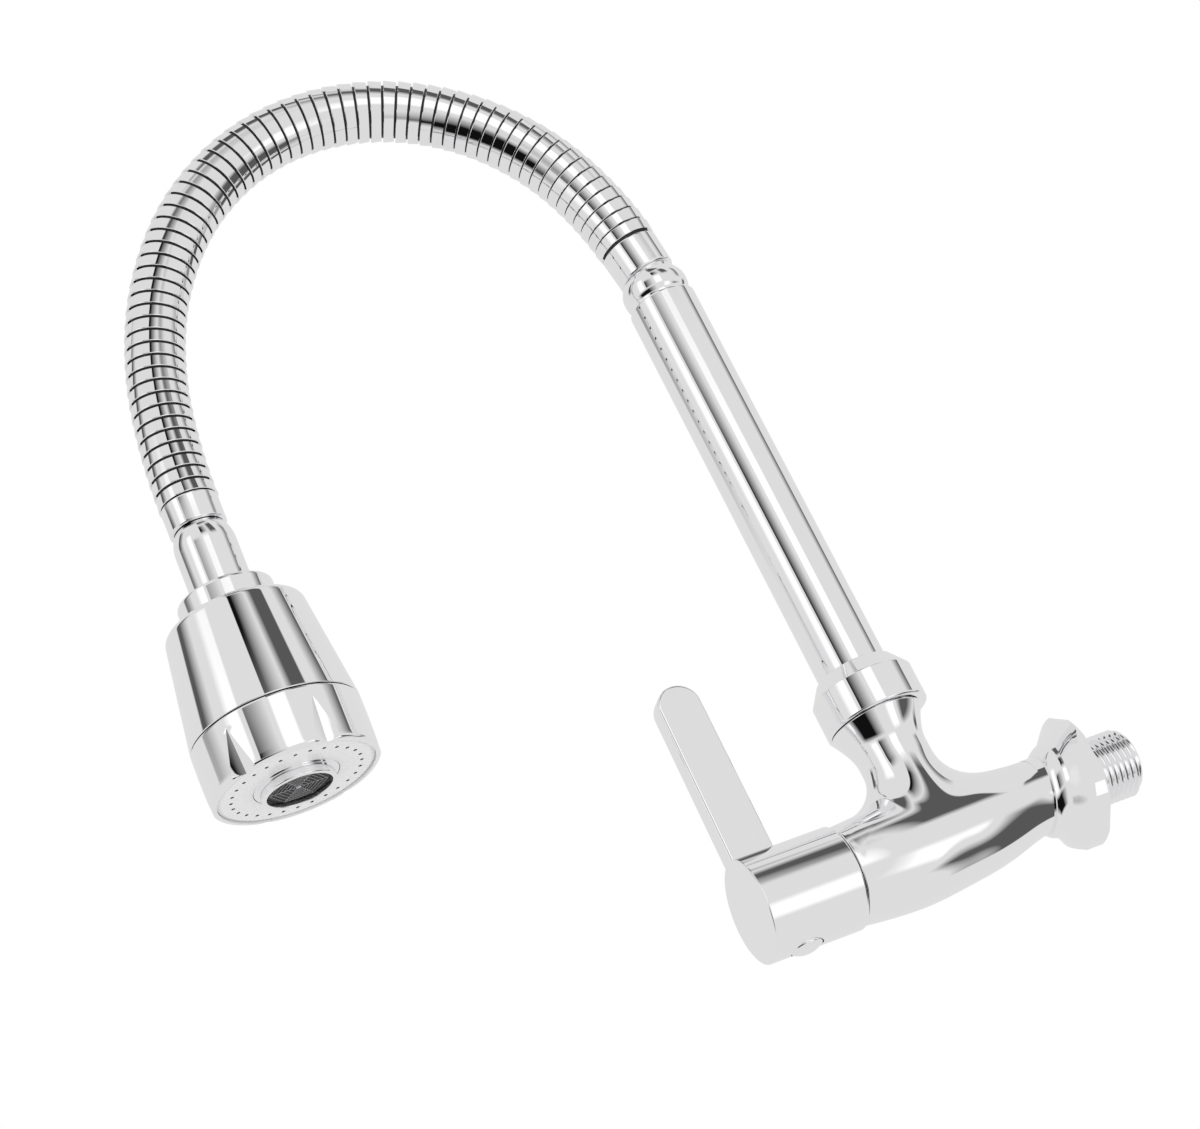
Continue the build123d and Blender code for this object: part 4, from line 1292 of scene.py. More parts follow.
    def liner(self, number: int, low: float, high: float) -> bpy.types.Object:
        """Soft water hose inside one span, with a dark sleeve under the bands that is painted shade for the
        gaps between them.

        Args:
            number: Number of the span, from 1.
            low: Distance along the hose where the liner starts.
            high: Distance where it ends.

        Returns:
            The liner and its painted-shade sleeve as one piece.
        """
        set_in = self.shade_sleeve_setback
        # sleeve: dark tube under the bands, painted shade for the gaps between them
        sleeve = (self.shade_sleeve_radius, self.shade_sleeve_radius - self.shade_sleeve_wall)
        mesh = bmesh.new()
        for outer, inner, start, end in (
            (self.liner_radius, self.liner_bore, low, high),
            (*sleeve, max(low, set_in), min(high, self.length() - set_in)),
        ):
            count = max(round((end - start) / self.pitch), 1)
            places = [start + (end - start) * step / count for step in range(count + 1)]
            outline = [(outer * self.width(place), place) for place in places]
            outline += [(inner * self.width(place), place) for place in reversed(places)]
            spun(mesh, outline, True, self.liner_sectors)
        self.bent(mesh)
        close_mesh(mesh, self.liner_crisp_angle)
        return as_object(mesh, f"water_liner_and_shade_sleeve_{number}")

    def build(self, dresser: Dresser) -> None:
        """Build and dress every span of bands and of the liner."""
        ends = self.span_ends()
        arcs = len(self.turns)
        bodies = ["riser", *(f"hose_{number}" for number in range(1, arcs + 1)), "hose_end"]
        for number in range(1, len(ends)):
            low, high = ends[number - 1], ends[number]
            pair = (bodies[number - 1], bodies[number])
            turning = (self.point(low), self.point(high))
            node = f"hose_section_{min(number, arcs)}"
            dresser.bend(self.bands(number, low, high), Slot.HOSE_CHROME, pair, turning, node)
            inner_low = low - self.liner_tail if number == 1 else low
            inner_high = high + self.liner_tail if number == len(ends) - 1 else high
            liner = self.liner(number, inner_low, inner_high)
            # the liner piece also carries the dark sleeve, painted shade between the bands
            dresser.bend(liner, Slot.HOSE_RUBBER, pair, turning, "water_hose")


@dataclass
class SprayHead:
    """The spray head: ferrule, connector, ring nut, housing, twist ring and aerator."""

    ferrule_bore: float = 6.8
    ferrule_radius: float = 8.95
    ferrule_start: float = 0.25
    ferrule_length: float = 9.2
    connector_start: float = 9.4
    connector_bore: float = 6.0
    connector_radius: float = 9.55
    connector_top_radius: float = 7.7
    connector_shoulder: float = 6.0
    connector_overlap: float = 3.0
    connector_rows: int = 24
    connector_crisp_angle: float = 35.0
    collar_start: float = 32.3
    collar_height: float = 8.4
    collar_radius: float = 14.9
    collar_lip: float = 3.4
    spigot_radius: float = 12.9
    spigot_bore: float = 11.7
    spigot_length: float = 7.0
    housing_hole: float = 12.95
    housing_length: float = 36.6
    housing_top_radius: float = 21.6
    housing_top_round: float = 2.4
    housing_roof: float = 8.0
    housing_radius: float = 26.2
    wall: float = 2.2
    fine_sectors: int = 160
    ring_gap: float = 0.4
    ring_length: float = 18.0
    ring_wall: float = 2.3
    ring_ledge: float = 2.0
    ring_ledge_height: float = 1.8
    ring_edge: float = 1.2
    ring_edge_rows: int = 6
    face_radius: float = 24.3
    face_clearance: float = 0.05
    face_depth: float = 2.7
    face_drop: float = 0.3
    groove_count: int = 6
    groove_turn: float = 37.0
    groove_half_width: float = 4.5
    groove_depth: float = 1.7
    groove_start: float = 3.0
    groove_rows: int = 12
    groove_columns: int = 20
    groove_half_columns: int = 3
    aerator_flange: float = 13.2
    aerator_radius: float = 11.6
    aerator_bore: float = 10.1
    aerator_wall: float = 1.6
    aerator_reach: float = 3.0
    aerator_flange_height: float = 2.4
    aerator_flange_rise: float = 0.02
    aerator_tail: float = 1.8
    aerator_mouth: float = 3.4
    cup_sectors: int = 72
    screen_recess: float = 1.2
    screen_drop: float = 0.4
    screen_margin: float = 1.1
    screen_rings: int = 6
    screen_middle: float = 0.5
    screen_webs: int = 6
    web_width: float = 0.22
    web_height: float = 0.3
    ridge_width: float = 0.2
    ridge_height: float = 0.45
    boss_radius: float = 0.9
    boss_height: float = 0.5
    boss_sectors: int = 24
    hole_count: int = 28
    hole_circle: float = 20.0
    hole_radius: float = 0.62
    hole_crisp_angle: float = 4.0
    hole_sides: int = 14
    cutter_length: float = 6.0
    plate_clearance: float = 0.12
    plate_thickness: float = 2.2
    plate_bevel: float = 1.3
    plate_bevel_drop: float = 0.55
    disc_depth: float = 3.1
    disc_thickness: float = 0.6
    disc_inner: float = 13.5
    disc_outer: float = 21.2
    disc_sectors: int = 96
    nozzle_clearance: float = 0.03
    nozzle_sides: int = 12
    nozzle_length: float = 2.7
    nozzle_set_back: float = 1.43
    nozzle_wall: float = 0.13
    nozzle_depth: float = 1.2
    rubber_crisp_angle: float = 30.0

    def __post_init__(self) -> None:
        """Work out the heights along the head's axis."""
        self.housing_start = self.collar_start + self.collar_height
        self.housing_end = self.housing_start + self.housing_length
        self.ring_start = self.housing_end + self.ring_gap
        self.ring_end = self.ring_start + self.ring_length
        self.face_high = self.ring_end - self.face_drop
        self.tip = self.face_high + self.aerator_reach

    def ferrule(self, stance: Stance) -> bpy.types.Object:
        """Crimped upper sleeve."""
        corners = (
            (self.ferrule_bore, self.ferrule_start, 0.0),
            (self.ferrule_radius + 0.1, self.ferrule_start, 0.35),
            (self.ferrule_radius, 3.0, 0.0),
            (self.ferrule_radius, self.ferrule_length, 0.5),
            (self.ferrule_bore, self.ferrule_length, 0.0),
        )
        return turned_piece("ferrule_at_head", corners, stance)

    def connector(self, stance: Stance) -> bpy.types.Object:
        """Ball-shouldered neck."""
        low, rise, radius = self.connector_start, self.connector_shoulder, self.connector_radius
        shoulder = Smooth(
            [low + rise * share for share in (0.0, 0.2, 0.5, 0.8, 1.0, 1.3)],
            (self.connector_top_radius, radius - 1.12, radius - 0.45, radius - 0.09, radius, radius),
        )
        top = self.collar_start + self.connector_overlap
        count = self.connector_rows
        heights = [low + 1.3 * rise * step / count for step in range(count + 1)]
        outline = [(self.connector_bore, low), (self.connector_top_radius - 0.5, low)]
        outline += [(shoulder.at(height), height) for height in heights]
        outline += [(radius, top), (self.connector_bore, top)]
        return lathed("connector_neck", outline, stance, limit=self.connector_crisp_angle)

    def collar(self, stance: Stance) -> bpy.types.Object:
        """Ring nut above the housing."""
        low = self.collar_start
        high = low + self.collar_height
        hole = self.connector_radius + 0.3
        corners = (
            (hole, low, 0.12),
            (self.collar_radius, low, 0.9),
            (self.collar_radius, high, 0.12),
            (self.spigot_radius, high, 0.0),
            (self.spigot_radius, high + self.spigot_length, 0.0),
            (self.spigot_bore, high + self.spigot_length, 0.0),
            (self.spigot_bore, low + self.collar_lip, 0.0),
            (hole, low + self.collar_lip, 0.0),
        )
        return turned_piece("collar_ring_nut", corners, stance)

    def housing(self, stance: Stance) -> bpy.types.Object:
        """Tapered shell with its rounded shoulder."""
        low, high = self.housing_start, self.housing_end
        corners = (
            (self.housing_hole, low, 0.1),
            (self.housing_top_radius, low, self.housing_top_round),
            (self.housing_radius, high, 0.25),
            (self.housing_radius - self.wall, high, 0.0),
            (self.housing_top_radius - self.wall, low + self.housing_roof, 0.0),
            (self.housing_hole, low + self.housing_roof, 0.0),
        )
        outline = softened(corners, True, segments=10)
        return lathed("head_tapered_shell", outline, stance, steps=self.fine_sectors)

    def groove_share(self, height: float) -> float:
        """How far a V groove has grown at a height, 0 at its point and 1 at the ring's end."""
        run = self.ring_end - self.ring_start - self.groove_start
        return max(0.0, (height - self.ring_start - self.groove_start) / run)

    def ring_rows(self) -> Outline:
        """Outside of the twist ring, with rows close enough for the V grooves."""
        low, high = self.ring_start, self.ring_end
        outer, edge, count = self.housing_radius, self.ring_edge, self.groove_rows
        rows = [(outer - 0.25, low), (outer - 0.07, low + 0.07), (outer, low + 0.25), (outer, low + 0.6)]
        tip = low + self.groove_start
        run = high - edge - 0.25 - tip
        rows += [(outer, tip + run * step / count) for step in range(count + 1)]
        for step in range(1, self.ring_edge_rows + 1):
            angle = math.pi / 2 * step / self.ring_edge_rows
            rows.append((outer - edge * (1 - math.cos(angle)), high - edge * (1 - math.sin(angle))))
        rows += [(outer - edge - 0.3, high), (self.face_radius + self.face_clearance, high)]
        return rows

    def twist_ring(self, stance: Stance) -> bpy.types.Object:
        """Twist ring whose V grooves deepen towards the face."""
        inner = self.housing_radius - self.ring_wall
        ledge = self.face_radius - self.ring_ledge
        floor = self.ring_end - self.face_depth - self.ring_ledge
        high = floor + self.ring_ledge_height
        outline = self.ring_rows()
        outline += [(self.face_radius + self.face_clearance, high), (ledge, high)]
        outline += [(ledge, floor), (inner, floor), (inner, self.ring_start)]
        columns = self.groove_columns
        spacing = 2 * math.pi / (self.groove_count * columns)
        mesh = bmesh.new()
        spun(mesh, outline, True, self.groove_count * columns)
        creases = {}
        for vertex in mesh.verts:
            reach = math.hypot(vertex.co.x, vertex.co.y)
            if reach < self.face_radius + 0.02:
                continue
            column = round(math.atan2(vertex.co.y, vertex.co.x) / spacing)
            sector, inside = divmod(column + columns // 2, columns)
            self.shape_column(vertex, reach, sector * columns * spacing, inside - columns // 2, creases)
        turn = Matrix.Rotation(math.radians(self.groove_turn), 4, "Z")
        bmesh.ops.transform(mesh, matrix=stance.matrix() @ turn, verts=mesh.verts)
        lines = set()
        for edge in mesh.edges:
            kinds = [creases.get(v) for v in edge.verts]
            if kinds[0] is not None and kinds[0] == kinds[1]:
                lines.add(self.ends_of(edge))
        close_mesh(mesh)
        for edge in mesh.edges:
            if self.ends_of(edge) in lines:
                edge.smooth = False
        return as_object(mesh, "ring_with_grooves")

    def shape_column(
        self, vertex: bmesh.types.BMVert, reach: float, middle: float, column: int, creases: dict
    ) -> None:
        """Move one point of the ring to the V groove's fan of columns.

        Args:
            vertex: The point.
            reach: Its distance from the axis.
            middle: Angle of the nearest groove's middle.
            column: Number of columns from that middle.
            creases: Filled with the points that lie on a groove's edges or floor.
        """
        share = self.groove_share(vertex.co.z)
        half = self.groove_half_width / self.housing_radius * min(share, 1.05)
        edge, last = self.groove_half_columns, self.groove_columns // 2
        sector = math.pi / self.groove_count
        side = 1 if column >= 0 else -1
        steps = abs(column)
        if steps <= edge:
            angle = half * steps / edge
        else:
            angle = half + (sector - half) * (steps - edge) / (last - edge)
        if share > 0 and steps <= edge:
            depth = self.groove_depth * share * (1 - steps / edge)
            reach = min(reach, self.housing_radius - depth)
            if steps in (0, edge):
                creases[vertex] = (round(middle, 3), side * steps)
        vertex.co.x = reach * math.cos(middle + side * angle)
        vertex.co.y = reach * math.sin(middle + side * angle)

    def ends_of(self, edge: bmesh.types.BMEdge) -> tuple:
        """Places of an edge's two ends, in hundredths of a millimetre."""
        return tuple(sorted(tuple(round(c * 1e5) for c in v.co) for v in edge.verts))

    def aerator(self, stance: Stance) -> bpy.types.Object:
        """Stepped ring round the screen."""
        low, high = self.face_high - self.aerator_flange_height, self.face_high + self.aerator_flange_rise
        tip, mouth, tail = self.tip, self.tip - self.aerator_mouth, low - self.aerator_tail
        inner = self.aerator_bore - self.aerator_wall
        corners = (
            (inner, tail, 0.0),
            (self.aerator_radius, tail, 0.0),
            (self.aerator_radius, low, 0.0),
            (self.aerator_flange, low, 0.0),
            (self.aerator_flange, high, 0.25),
            (self.aerator_radius, high, 0.2),
            (self.aerator_radius, tip, 0.45),
            (self.aerator_bore, tip, 0.3),
            (self.aerator_bore, mouth, 0.0),
            (inner, mouth, 0.0),
        )
        return turned_piece("aerator_stepped_ring", corners, stance)

    def screen_base(self, stance: Stance) -> bpy.types.Object:
        """Black cup under the screen, painted shade for the aerator's recess, with a deep gap along the
        aerator's wall.
        """
        level = self.tip - self.screen_recess
        radius = self.aerator_bore - 0.05
        corners = (
            (0.0, level - 1.2, 0.0),
            (radius, level - 1.2, 0.0),
            (radius, level - 0.8, 0.1),
            (radius - 0.7, level - 0.8, 0.0),
            (radius - 0.9, level - 0.3, 0.12),
            (0.0, level - 0.3, 0.0),
        )
        outline = softened(corners, False)
        return lathed("aerator_shade_cup", outline, stance, closed=False, steps=self.cup_sectors)

    def screen(self, stance: Stance) -> bpy.types.Object:
        """Rings of six-sided ridges round a small boss, tied by thin webs."""
        mesh = bmesh.new()
        level = self.tip - self.screen_recess - self.screen_drop
        radius, middle = self.aerator_bore - self.screen_margin, self.screen_middle
        pitch = (radius - middle) / self.screen_rings
        for number in range(1, self.screen_rings + 1):
            self.ridge(mesh, pitch * number + middle, level)
        for number in range(self.screen_webs):
            self.web(mesh, 2 * math.pi * number / self.screen_webs, radius, level)
        wide, high = self.boss_radius, level + self.boss_height
        boss = ((0.0, level, 0.0), (wide, level, 0.0), (wide, high, 0.2), (0.0, high, 0.0))
        spun(mesh, softened(boss, False), False, self.boss_sectors)
        return stood(mesh, "aerator_ring_screen", stance, self.rubber_crisp_angle)

    def ridge(self, mesh: bmesh.types.BMesh, radius: float, level: float) -> None:
        """One six-sided ridge of the screen.

        Args:
            mesh: The screen's mesh.
            radius: Distance of the ridge's corners from the axis.
            level: Height of its foot.
        """
        place = Matrix.Translation((0, 0, level))
        base = bmesh.ops.create_circle(mesh, cap_ends=False, radius=radius, segments=6, matrix=place)["verts"]
        edges = list({e for v in base for e in v.link_edges})
        width, high = self.ridge_width, level + self.ridge_height
        shapes = ((radius - 0.35 * width, high), (radius - width, high), (radius - 1.35 * width, level))
        for reach, lift in shapes:
            made = bmesh.ops.extrude_edge_only(mesh, edges=edges)["geom"]
            fresh = only(bmesh.types.BMVert, made)
            for vertex in fresh:
                scale = reach / math.hypot(vertex.co.x, vertex.co.y)
                vertex.co = Vector((vertex.co.x * scale, vertex.co.y * scale, lift))
            edges = [e for e in only(bmesh.types.BMEdge, made) if all(v in fresh for v in e.verts)]

    def web(self, mesh: bmesh.types.BMesh, around: float, reach: float, level: float) -> None:
        """One thin radial web between the ridges."""
        out = Matrix.Translation((0.5 * reach + 0.4, 0, level + 0.5 * self.web_height))
        place = Matrix.Rotation(around + math.pi / 6, 4, "Z") @ out
        size = Matrix.Diagonal((reach - 0.6, self.web_width, self.web_height, 1))
        bmesh.ops.create_cube(mesh, size=1.0, matrix=place @ size)

    def hole_places(self) -> list[Matrix]:
        """Places of the spray holes, level with the plate's face."""
        out = Matrix.Translation((self.hole_circle, 0, self.face_high))
        turns = [2 * math.pi * number / self.hole_count for number in range(self.hole_count)]
        return [Matrix.Rotation(turn, 4, "Z") @ out for turn in turns]

    def pin(
        self, mesh: bmesh.types.BMesh, radius: float, length: float, sides: int, place: Matrix
    ) -> list[bmesh.types.BMVert]:
        """Add one plain pin to a mesh.

        Args:
            mesh: The mesh.
            radius: The pin's radius.
            length: Its length.
            sides: Number of its sides.
            place: Its middle and its direction.

        Returns:
            The pin's points.
        """
        return bmesh.ops.create_cone(
            mesh, cap_ends=True, segments=sides, radius1=radius, radius2=radius, depth=length, matrix=place
        )["verts"]

    def plate(self, stance: Stance) -> bpy.types.Object:
        """Light plate with a bevelled rim and its circle of spray holes."""
        high, bore = self.face_high, self.aerator_flange + self.plate_clearance
        corners = (
            (bore, high - self.plate_thickness, 0.0),
            (self.face_radius, high - self.plate_thickness, 0.0),
            (self.face_radius, high - self.plate_bevel_drop, 0.0),
            (self.face_radius - self.plate_bevel, high, 0.0),
            (bore, high, 0.0),
        )
        piece = turned_piece("light_spray_plate", corners, stance, self.fine_sectors)
        mesh = bmesh.new()
        for place in self.hole_places():
            self.pin(mesh, self.hole_radius, self.cutter_length, self.hole_sides, place)
        return cut_away(piece, stood(mesh, "spray_hole_cutter", stance), self.hole_crisp_angle)

    def nozzles(self, stance: Stance) -> bpy.types.Object:
        """Dark rubber disc behind the plate, with one hollow nozzle in each spray hole."""
        mesh = bmesh.new()
        low, inner, outer = self.face_high - self.disc_depth, self.disc_inner, self.disc_outer
        high = low + self.disc_thickness
        back = ((inner, low, 0.0), (outer, low, 0.0), (outer, high, 0.0), (inner, high, 0.0))
        spun(mesh, softened(back, True), True, self.disc_sectors)
        radius, sides = self.hole_radius - self.nozzle_clearance, self.nozzle_sides
        sunk = Matrix.Translation((0, 0, -self.nozzle_set_back))
        for place in self.hole_places():
            points = self.pin(mesh, radius, self.nozzle_length, sides, place @ sunk)
            caps = [f for f in {f for v in points for f in v.link_faces} if len(f.verts) == sides]
            end = max(caps, key=lambda f: f.calc_center_median().z)
            bmesh.ops.inset_region(mesh, faces=[end], thickness=self.nozzle_wall)
            bmesh.ops.translate(mesh, vec=(0, 0, -self.nozzle_depth), verts=end.verts)
        return stood(mesh, "nozzle_rubber_disc", stance, self.rubber_crisp_angle)


@dataclass
class Handle:
    """Lever and cap of one casting, and the domed plug under the cap."""

    drop: float = 3.6
    rear: float = 80.4
    length: float = 30.2
    cap_radius: float = 15.7
    cap_bore: float = 13.6
    cap_bore_depth: float = 12.6
    cap_floor: float = 14.0
    cap_sectors: int = 192
    lever_width: float = 13.3
    thickness: float = 7.4
    set_back: float = 0.9
    foot_set_back: float = 0.1
    top: float = 68.0
    end_steps: int = 40
    edge: float = 0.75
    edge_segments: int = 5
    face_inset: float = 0.3
    blade_crisp_angle: float = 40.0
    plug_offset: float = 99.7
    plug_radius: float = 5.0
    plug_clearance: float = 0.16
    plug_rim: float = 0.3
    plug_dome: float = 1.4
    plug_steps: int = 24
    plug_length: float = 2.6
    plug_shoulder: float = 0.3
    plug_sectors: int = 72
    seat_half_length: float = 7.0
    seat_depth: float = 3.0
    seat_reach: float = 20.0
    seat_sectors: int = 64

    def plug_stance(self) -> Stance:
        """Where the plug and its seat stand, pointing down from the cap's axis."""
        return Stance((0, -self.plug_offset, -self.drop), (0, 0, -1))

    def cap(self) -> bpy.types.Object:
        """Hollow cap with the plug's seat cut into its underside."""
        front = self.rear + self.length
        corners = (
            (self.cap_bore, self.rear, 0.25),
            (self.cap_radius, self.rear, 0.6),
            (self.cap_radius, self.plug_offset - self.seat_half_length, 0.0),
            (self.cap_radius, self.plug_offset + self.seat_half_length, 0.0),
            (self.cap_radius, front, 0.35),
            (0.0, front, 0.0),
        )
        outline = softened(corners, False)
        outline += [(0.0, front - self.cap_floor), (self.cap_bore, self.rear + self.cap_bore_depth)]
        outline += [(self.cap_bore, self.rear)]
        stance = Stance((0, 0, -self.drop), (0, -1, 0))
        cap = lathed("lever_round_cap", outline, stance, closed=False, steps=self.cap_sectors)
        low, high = self.cap_radius - self.seat_depth, self.seat_reach
        radius = self.plug_radius + self.plug_clearance
        seat = [(0.0, low), (radius, low), (radius, high), (0.0, high)]
        steps = self.seat_sectors
        cutter = lathed("plug_seat_cutter", seat, self.plug_stance(), closed=False, steps=steps)
        return cut_away(cap, cutter, CRISP_ANGLE)

    def blade_outline(self) -> Outline:
        """Side view of the lever, as depth and height, with its full round end."""
        front = self.rear + self.length
        half = self.lever_width / 2
        middle = -(front - self.set_back - half)
        straight = self.top - half
        outline = [(-(front - self.foot_set_back), 0.0), (middle + half, 0.0)]
        for step in range(self.end_steps + 1):
            angle = math.pi * step / self.end_steps
            outline.append((middle + half * math.cos(angle), straight + half * math.sin(angle)))
        return outline

    def blade(self) -> bpy.types.Object:
        """Flat lever with a full round end and chamfered edges."""
        mesh = bmesh.new()
        side = [mesh.verts.new((-self.thickness / 2, y, z)) for y, z in self.blade_outline()]
        made = bmesh.ops.extrude_face_region(mesh, geom=[mesh.faces.new(side)])["geom"]
        bmesh.ops.translate(mesh, vec=(self.thickness, 0, 0), verts=only(bmesh.types.BMVert, made))
        bmesh.ops.recalc_face_normals(mesh, faces=mesh.faces)
        broad = [f for f in mesh.faces if abs(f.normal.x) > 0.9]
        rims = {e for f in broad for e in f.edges if max(v.co.z for v in e.verts) > 0.5}
        bmesh.ops.bevel(
            mesh, geom=list(rims), offset=self.edge, segments=self.edge_segments,
            affect="EDGES", profile=0.5, material=-1,
        )
        broad = [f for f in mesh.faces if abs(f.normal.x) > 0.999 and len(f.verts) > 10]
        bmesh.ops.inset_region(mesh, faces=broad, thickness=self.face_inset, use_even_offset=True)
        bmesh.ops.scale(mesh, vec=(MM, MM, MM), verts=mesh.verts)
        close_mesh(mesh, self.blade_crisp_angle)
        return as_object(mesh, "lever_blade")

    def plug(self) -> bpy.types.Object:
        """Domed plug in its seat."""
        rim = self.cap_radius - self.plug_rim
        rise = self.plug_dome + self.plug_rim
        ball = (self.plug_radius**2 + rise**2) / (2 * rise)
        widest = math.asin(self.plug_radius / ball)
        radius, low = self.plug_radius, rim - self.plug_length
        outline = [(0.0, low), (radius, low), (radius, rim - self.plug_shoulder)]
        for step in range(1, self.plug_steps + 1):
            angle = widest * (1 - step / self.plug_steps)
            outline.append((ball * math.sin(angle), rim + rise - ball * (1 - math.cos(angle))))
        steps = self.plug_sectors
        return lathed("cap_domed_plug", outline, self.plug_stance(), closed=False, steps=steps)


class Shade(Enum):
    """Brightness of the studio's tent and panels, 0 black to 1 white."""

    BLACK = 0.1
    DARK = 0.35
    TENT = 0.85
    WHITE = 1.0


@dataclass(frozen=True)
class Panel:
    """A soft box or flag in the studio's tent, between two azimuths and two elevations in degrees."""

    left: float
    right: float
    low: float
    high: float
    shade: Shade
    left_fade: float = 3.0
    right_fade: float = 3.0
    end_fade: float = 8.0


@dataclass
class Studio:
    """Plain pale floor, soft studio light and the camera."""

    camera_place: Triple = (0.89547, -0.45234, -0.27162)
    azimuth: float = 68.776
    elevation: float = -21.829
    roll: float = -26.313
    lens: float = 104.49
    sensor_width: float = 36.0
    farthest_view: float = 50.0
    floor_height: float = -0.45
    floor_size: float = 12.0
    floor_colour: Triple = (0.86, 0.86, 0.86)
    floor_roughness: float = 0.9
    glare: float = 1.12
    contrast: float = 2.3
    panels: tuple[Panel, ...] = (
        Panel(-120, -90, 20, 60, Shade.DARK, right_fade=20),
        Panel(-75, -50, -10, 45, Shade.WHITE, left_fade=10),
        Panel(-90, -10, -60, -10, Shade.BLACK, left_fade=15, right_fade=30),
        Panel(-45, -15, -10, 30, Shade.BLACK, left_fade=1, right_fade=28),
        Panel(-10, 15, -10, 30, Shade.WHITE),
        Panel(-10, 20, 30, 60, Shade.BLACK, left_fade=1, right_fade=24),
        Panel(15, 40, -45, -10, Shade.WHITE, left_fade=8),
        Panel(45, 105, -60, -10, Shade.DARK, left_fade=12),
        Panel(20, 50, 25, 60, Shade.DARK, left_fade=10, right_fade=2),
        Panel(65, 85, 10, 45, Shade.DARK, left_fade=18, right_fade=1),
        Panel(90, 105, -10, 10, Shade.DARK),
        Panel(-10, 60, 60, 90, Shade.DARK, left_fade=10, right_fade=10),
    )

    def camera(self) -> None:
        """Set the camera where the photograph was taken from."""
        turn, lift, roll = (math.radians(v) for v in (self.azimuth, self.elevation, self.roll))
        back = Vector((math.sin(turn) * math.cos(lift), -math.cos(turn) * math.cos(lift), math.sin(lift)))
        level = Vector((math.cos(turn), math.sin(turn), 0))
        right = level * math.cos(roll) + back.cross(level) * math.sin(roll)
        made = bpy.data.cameras.new("studio_camera")
        made.lens = self.lens
        made.sensor_fit = "HORIZONTAL"
        made.sensor_width = self.sensor_width
        made.clip_end = self.farthest_view
        holder = bpy.data.objects.new("studio_camera", made)
        turned = Matrix((right, back.cross(right), back)).transposed().to_4x4()
        holder.matrix_world = Matrix.Translation(Vector(self.camera_place)) @ turned
        bpy.context.scene.collection.objects.link(holder)
        bpy.context.scene.camera = holder

    def floor(self) -> None:
        """Plain pale floor far under the tap, kept out of the reflections."""
        mesh = bmesh.new()
        place = Matrix.Translation((0, -0.1, self.floor_height))
        bmesh.ops.create_grid(mesh, x_segments=2, y_segments=2, size=self.floor_size / 2, matrix=place)
        floor = as_object(mesh, "studio_floor")
        made = bpy.data.materials.new("Pale studio floor")
        made.use_nodes = True
        shader = made.node_tree.nodes["Principled BSDF"]
        shader.inputs["Base Color"].default_value = (*self.floor_colour, 1.0)
        shader.inputs["Roughness"].default_value = self.floor_roughness
        floor.data.materials.append(made)
        floor.visible_glossy = False

    def light(self, shade: Shade) -> float:
        """Light that the tent or a panel of this shade sends out."""
        return shade.value**self.contrast * self.glare

    def dome(self, tree: bpy.types.NodeTree) -> bpy.types.NodeSocket:
        """White tent with its soft boxes and flags, as the reflections see it.

        Args:
            tree: The world's node tree.

        Returns:
            The socket that gives the dome's brightness.
        """
        where = add_node(tree, "ShaderNodeTexCoord")
        parts = add_node(tree, "ShaderNodeSeparateXYZ")
        around = add_node(tree, "ShaderNodeMath", operation="ARCTAN2")
        scale = {"From Min": -math.pi, "From Max": math.pi, "To Min": -180.0, "To Max": 180.0}
        azimuth = add_node(tree, "ShaderNodeMapRange", scale)
        lift = add_node(tree, "ShaderNodeMath", operation="ARCSINE")
        elevation = add_node(tree, "ShaderNodeMath", operation="DEGREES")
        wire(
            tree,
            (where, "Generated", parts, "Vector"),
            (parts, "Y", around, 0),
            (parts, "X", around, 1),
            (around, "Value", azimuth, "Value"),
            (parts, "Z", lift, 0),
            (lift, "Value", elevation, 0),
        )
        shown = add_node(tree, "ShaderNodeValue").outputs["Value"]
        shown.default_value = self.light(Shade.TENT)
        for panel in self.panels:
            shown = self.lay(tree, panel, azimuth.outputs["Result"], elevation.outputs["Value"], shown)
        return shown

    def lay(
        self,
        tree: bpy.types.NodeTree,
        panel: Panel,
        azimuth: bpy.types.NodeSocket,
        elevation: bpy.types.NodeSocket,
        under: bpy.types.NodeSocket,
    ) -> bpy.types.NodeSocket:
        """Lay one panel over what the tent shows so far.

        Args:
            tree: The world's node tree.
            panel: The soft box or flag.
            azimuth: Azimuth in degrees.
            elevation: Elevation in degrees.
            under: Brightness without the panel.

        Returns:
            The socket that gives the brightness with the panel.
        """
        links = tree.links
        cover = None
        for source, start, end in (
            (azimuth, panel.left, panel.left + panel.left_fade),
            (azimuth, panel.right, panel.right - panel.right_fade),
            (elevation, panel.low, panel.low + panel.end_fade),
            (elevation, panel.high, panel.high - panel.end_fade),
        ):
            edge = add_node(tree, "ShaderNodeMapRange", {"From Min": start, "From Max": end})
            links.new(source, edge.inputs["Value"])
            if cover is None:
                cover = edge.outputs["Result"]
                continue
            both = add_node(tree, "ShaderNodeMath", operation="MULTIPLY")
            links.new(cover, both.inputs[0])
            links.new(edge.outputs["Result"], both.inputs[1])
            cover = both.outputs["Value"]
        mix = add_node(tree, "ShaderNodeMix", {"B": self.light(panel.shade)}, data_type="FLOAT")
        links.new(cover, mix.inputs["Factor"])
        links.new(under, mix.inputs["A"])
        return mix.outputs["Result"]

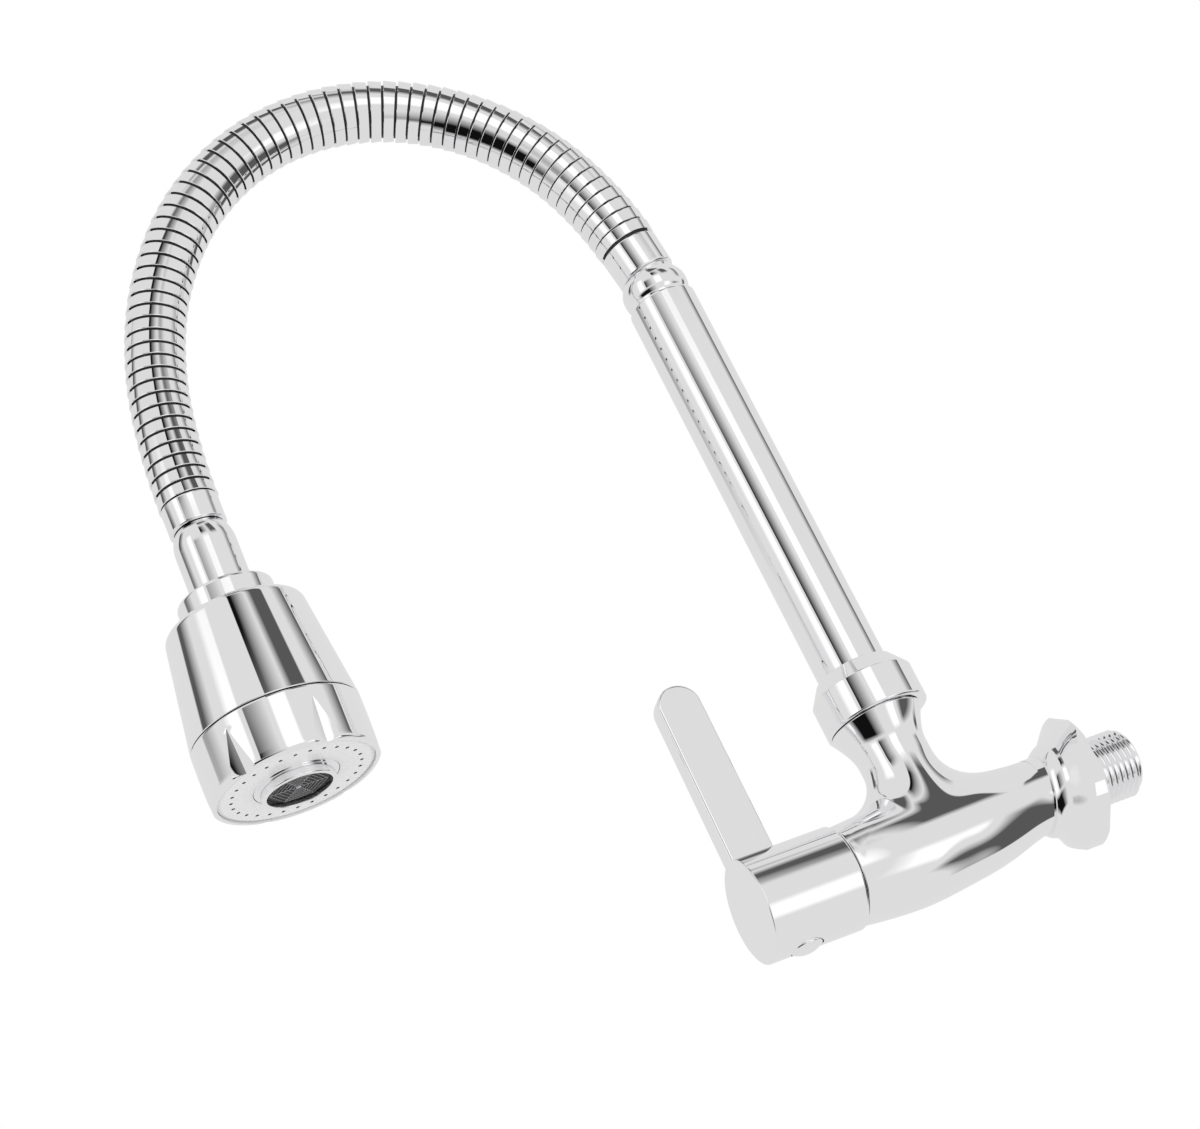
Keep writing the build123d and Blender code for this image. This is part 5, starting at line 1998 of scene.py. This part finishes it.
    def world(self) -> None:
        """Panels for the reflections; plain white for the backdrop and for what isn't polished."""
        world = bpy.data.worlds.new("Studio surroundings")
        bpy.context.scene.world = world
        world.use_nodes = True
        tree = world.node_tree
        tree.nodes.clear()
        out = add_node(tree, "ShaderNodeOutputWorld")
        mix = add_node(tree, "ShaderNodeMixShader")
        path = add_node(tree, "ShaderNodeLightPath")
        around = add_node(tree, "ShaderNodeBackground")
        backdrop = add_node(tree, "ShaderNodeBackground", {"Color": (1.0, 1.0, 1.0, 1.0)})
        plain = add_node(tree, "ShaderNodeMath", operation="MAXIMUM")
        tree.links.new(self.dome(tree), around.inputs["Color"])
        wire(
            tree,
            (path, "Is Camera Ray", plain, 0),
            (path, "Is Diffuse Ray", plain, 1),
            (plain, "Value", mix, "Fac"),
            (around, "Background", mix, 1),
            (backdrop, "Background", mix, 2),
            (mix, "Shader", out, "Surface"),
        )

    def set_up(self) -> None:
        """Build the whole studio."""
        scene = bpy.context.scene
        scene.view_settings.view_transform = "Standard"
        scene.view_settings.look = "None"
        self.camera()
        self.floor()
        self.world()


def main() -> None:
    """Build the studio and every piece in order, and log each piece's face count."""
    logging.basicConfig(level=logging.INFO, format="%(message)s")
    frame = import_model()
    nodes = frame["nodes"]
    Studio().set_up()
    dresser = Dresser(frame["record"])
    dresser.carry_over(nodes)

    dresser.dress(Casting().build(), Slot.CHROME, Body.VALVE, "valve_body")
    dresser.dress(WrenchFlange().build(nodes["valve_body"]), Slot.CHROME, Body.VALVE, "valve_body")
    dresser.dress(PipeThread().build(), Slot.CHROME, Body.VALVE, "valve_body")

    handle = Handle()
    dresser.dress(handle.cap(), Slot.CHROME, Body.LEVER, "lever_handle")
    dresser.dress(handle.blade(), Slot.CHROME, Body.LEVER, "lever_handle")
    dresser.dress(handle.plug(), Slot.CHROME, Body.LEVER, "screw_plug")

    hose = Gooseneck()
    riser = Riser()
    dresser.dress(riser.nut(), Slot.CHROME, Body.VALVE, "riser_nut")
    dresser.dress(riser.tube(), Slot.CHROME, Body.RISER, "riser_tube")
    dresser.dress(riser.bead(), Slot.CHROME, Body.RISER, "collar_adapter")
    dresser.dress(riser.ferrule(hose.stance(-hose.seat_length)), Slot.CHROME, Body.RISER, "lower_ferrule")
    hose.build(dresser)

    head = SprayHead()
    on_head = hose.stance(hose.length())
    dresser.dress(head.ferrule(on_head), Slot.CHROME, Body.HOSE_END, "upper_ferrule")
    dresser.dress(head.connector(on_head), Slot.CHROME, Body.HOSE_END, "head_connector")
    dresser.dress(head.collar(on_head), Slot.CHROME, Body.HEAD, "head_collar")
    dresser.dress(head.housing(on_head), Slot.CHROME, Body.HEAD, "head_housing")
    dresser.dress(head.twist_ring(on_head), Slot.CHROME, Body.SELECTOR, "twist_ring")
    dresser.dress(head.aerator(on_head), Slot.CHROME, Body.SELECTOR, "aerator_housing")
    # black rubber cup under the screen: painted shade of the aerator's recess
    dresser.dress(head.screen_base(on_head), Slot.RUBBER, Body.SELECTOR, "aerator_mesh")
    dresser.dress(head.screen(on_head), Slot.MESH_STEEL, Body.SELECTOR, "aerator_mesh")
    dresser.dress(head.plate(on_head), Slot.GREY_PLASTIC, Body.SELECTOR, "spray_face")
    dresser.dress(head.nozzles(on_head), Slot.RUBBER, Body.SELECTOR, "spray_face")

    bpy.context.view_layer.update()
    LOG.info("%d new pieces", dresser.count)


if __name__ == "__main__":
    main()
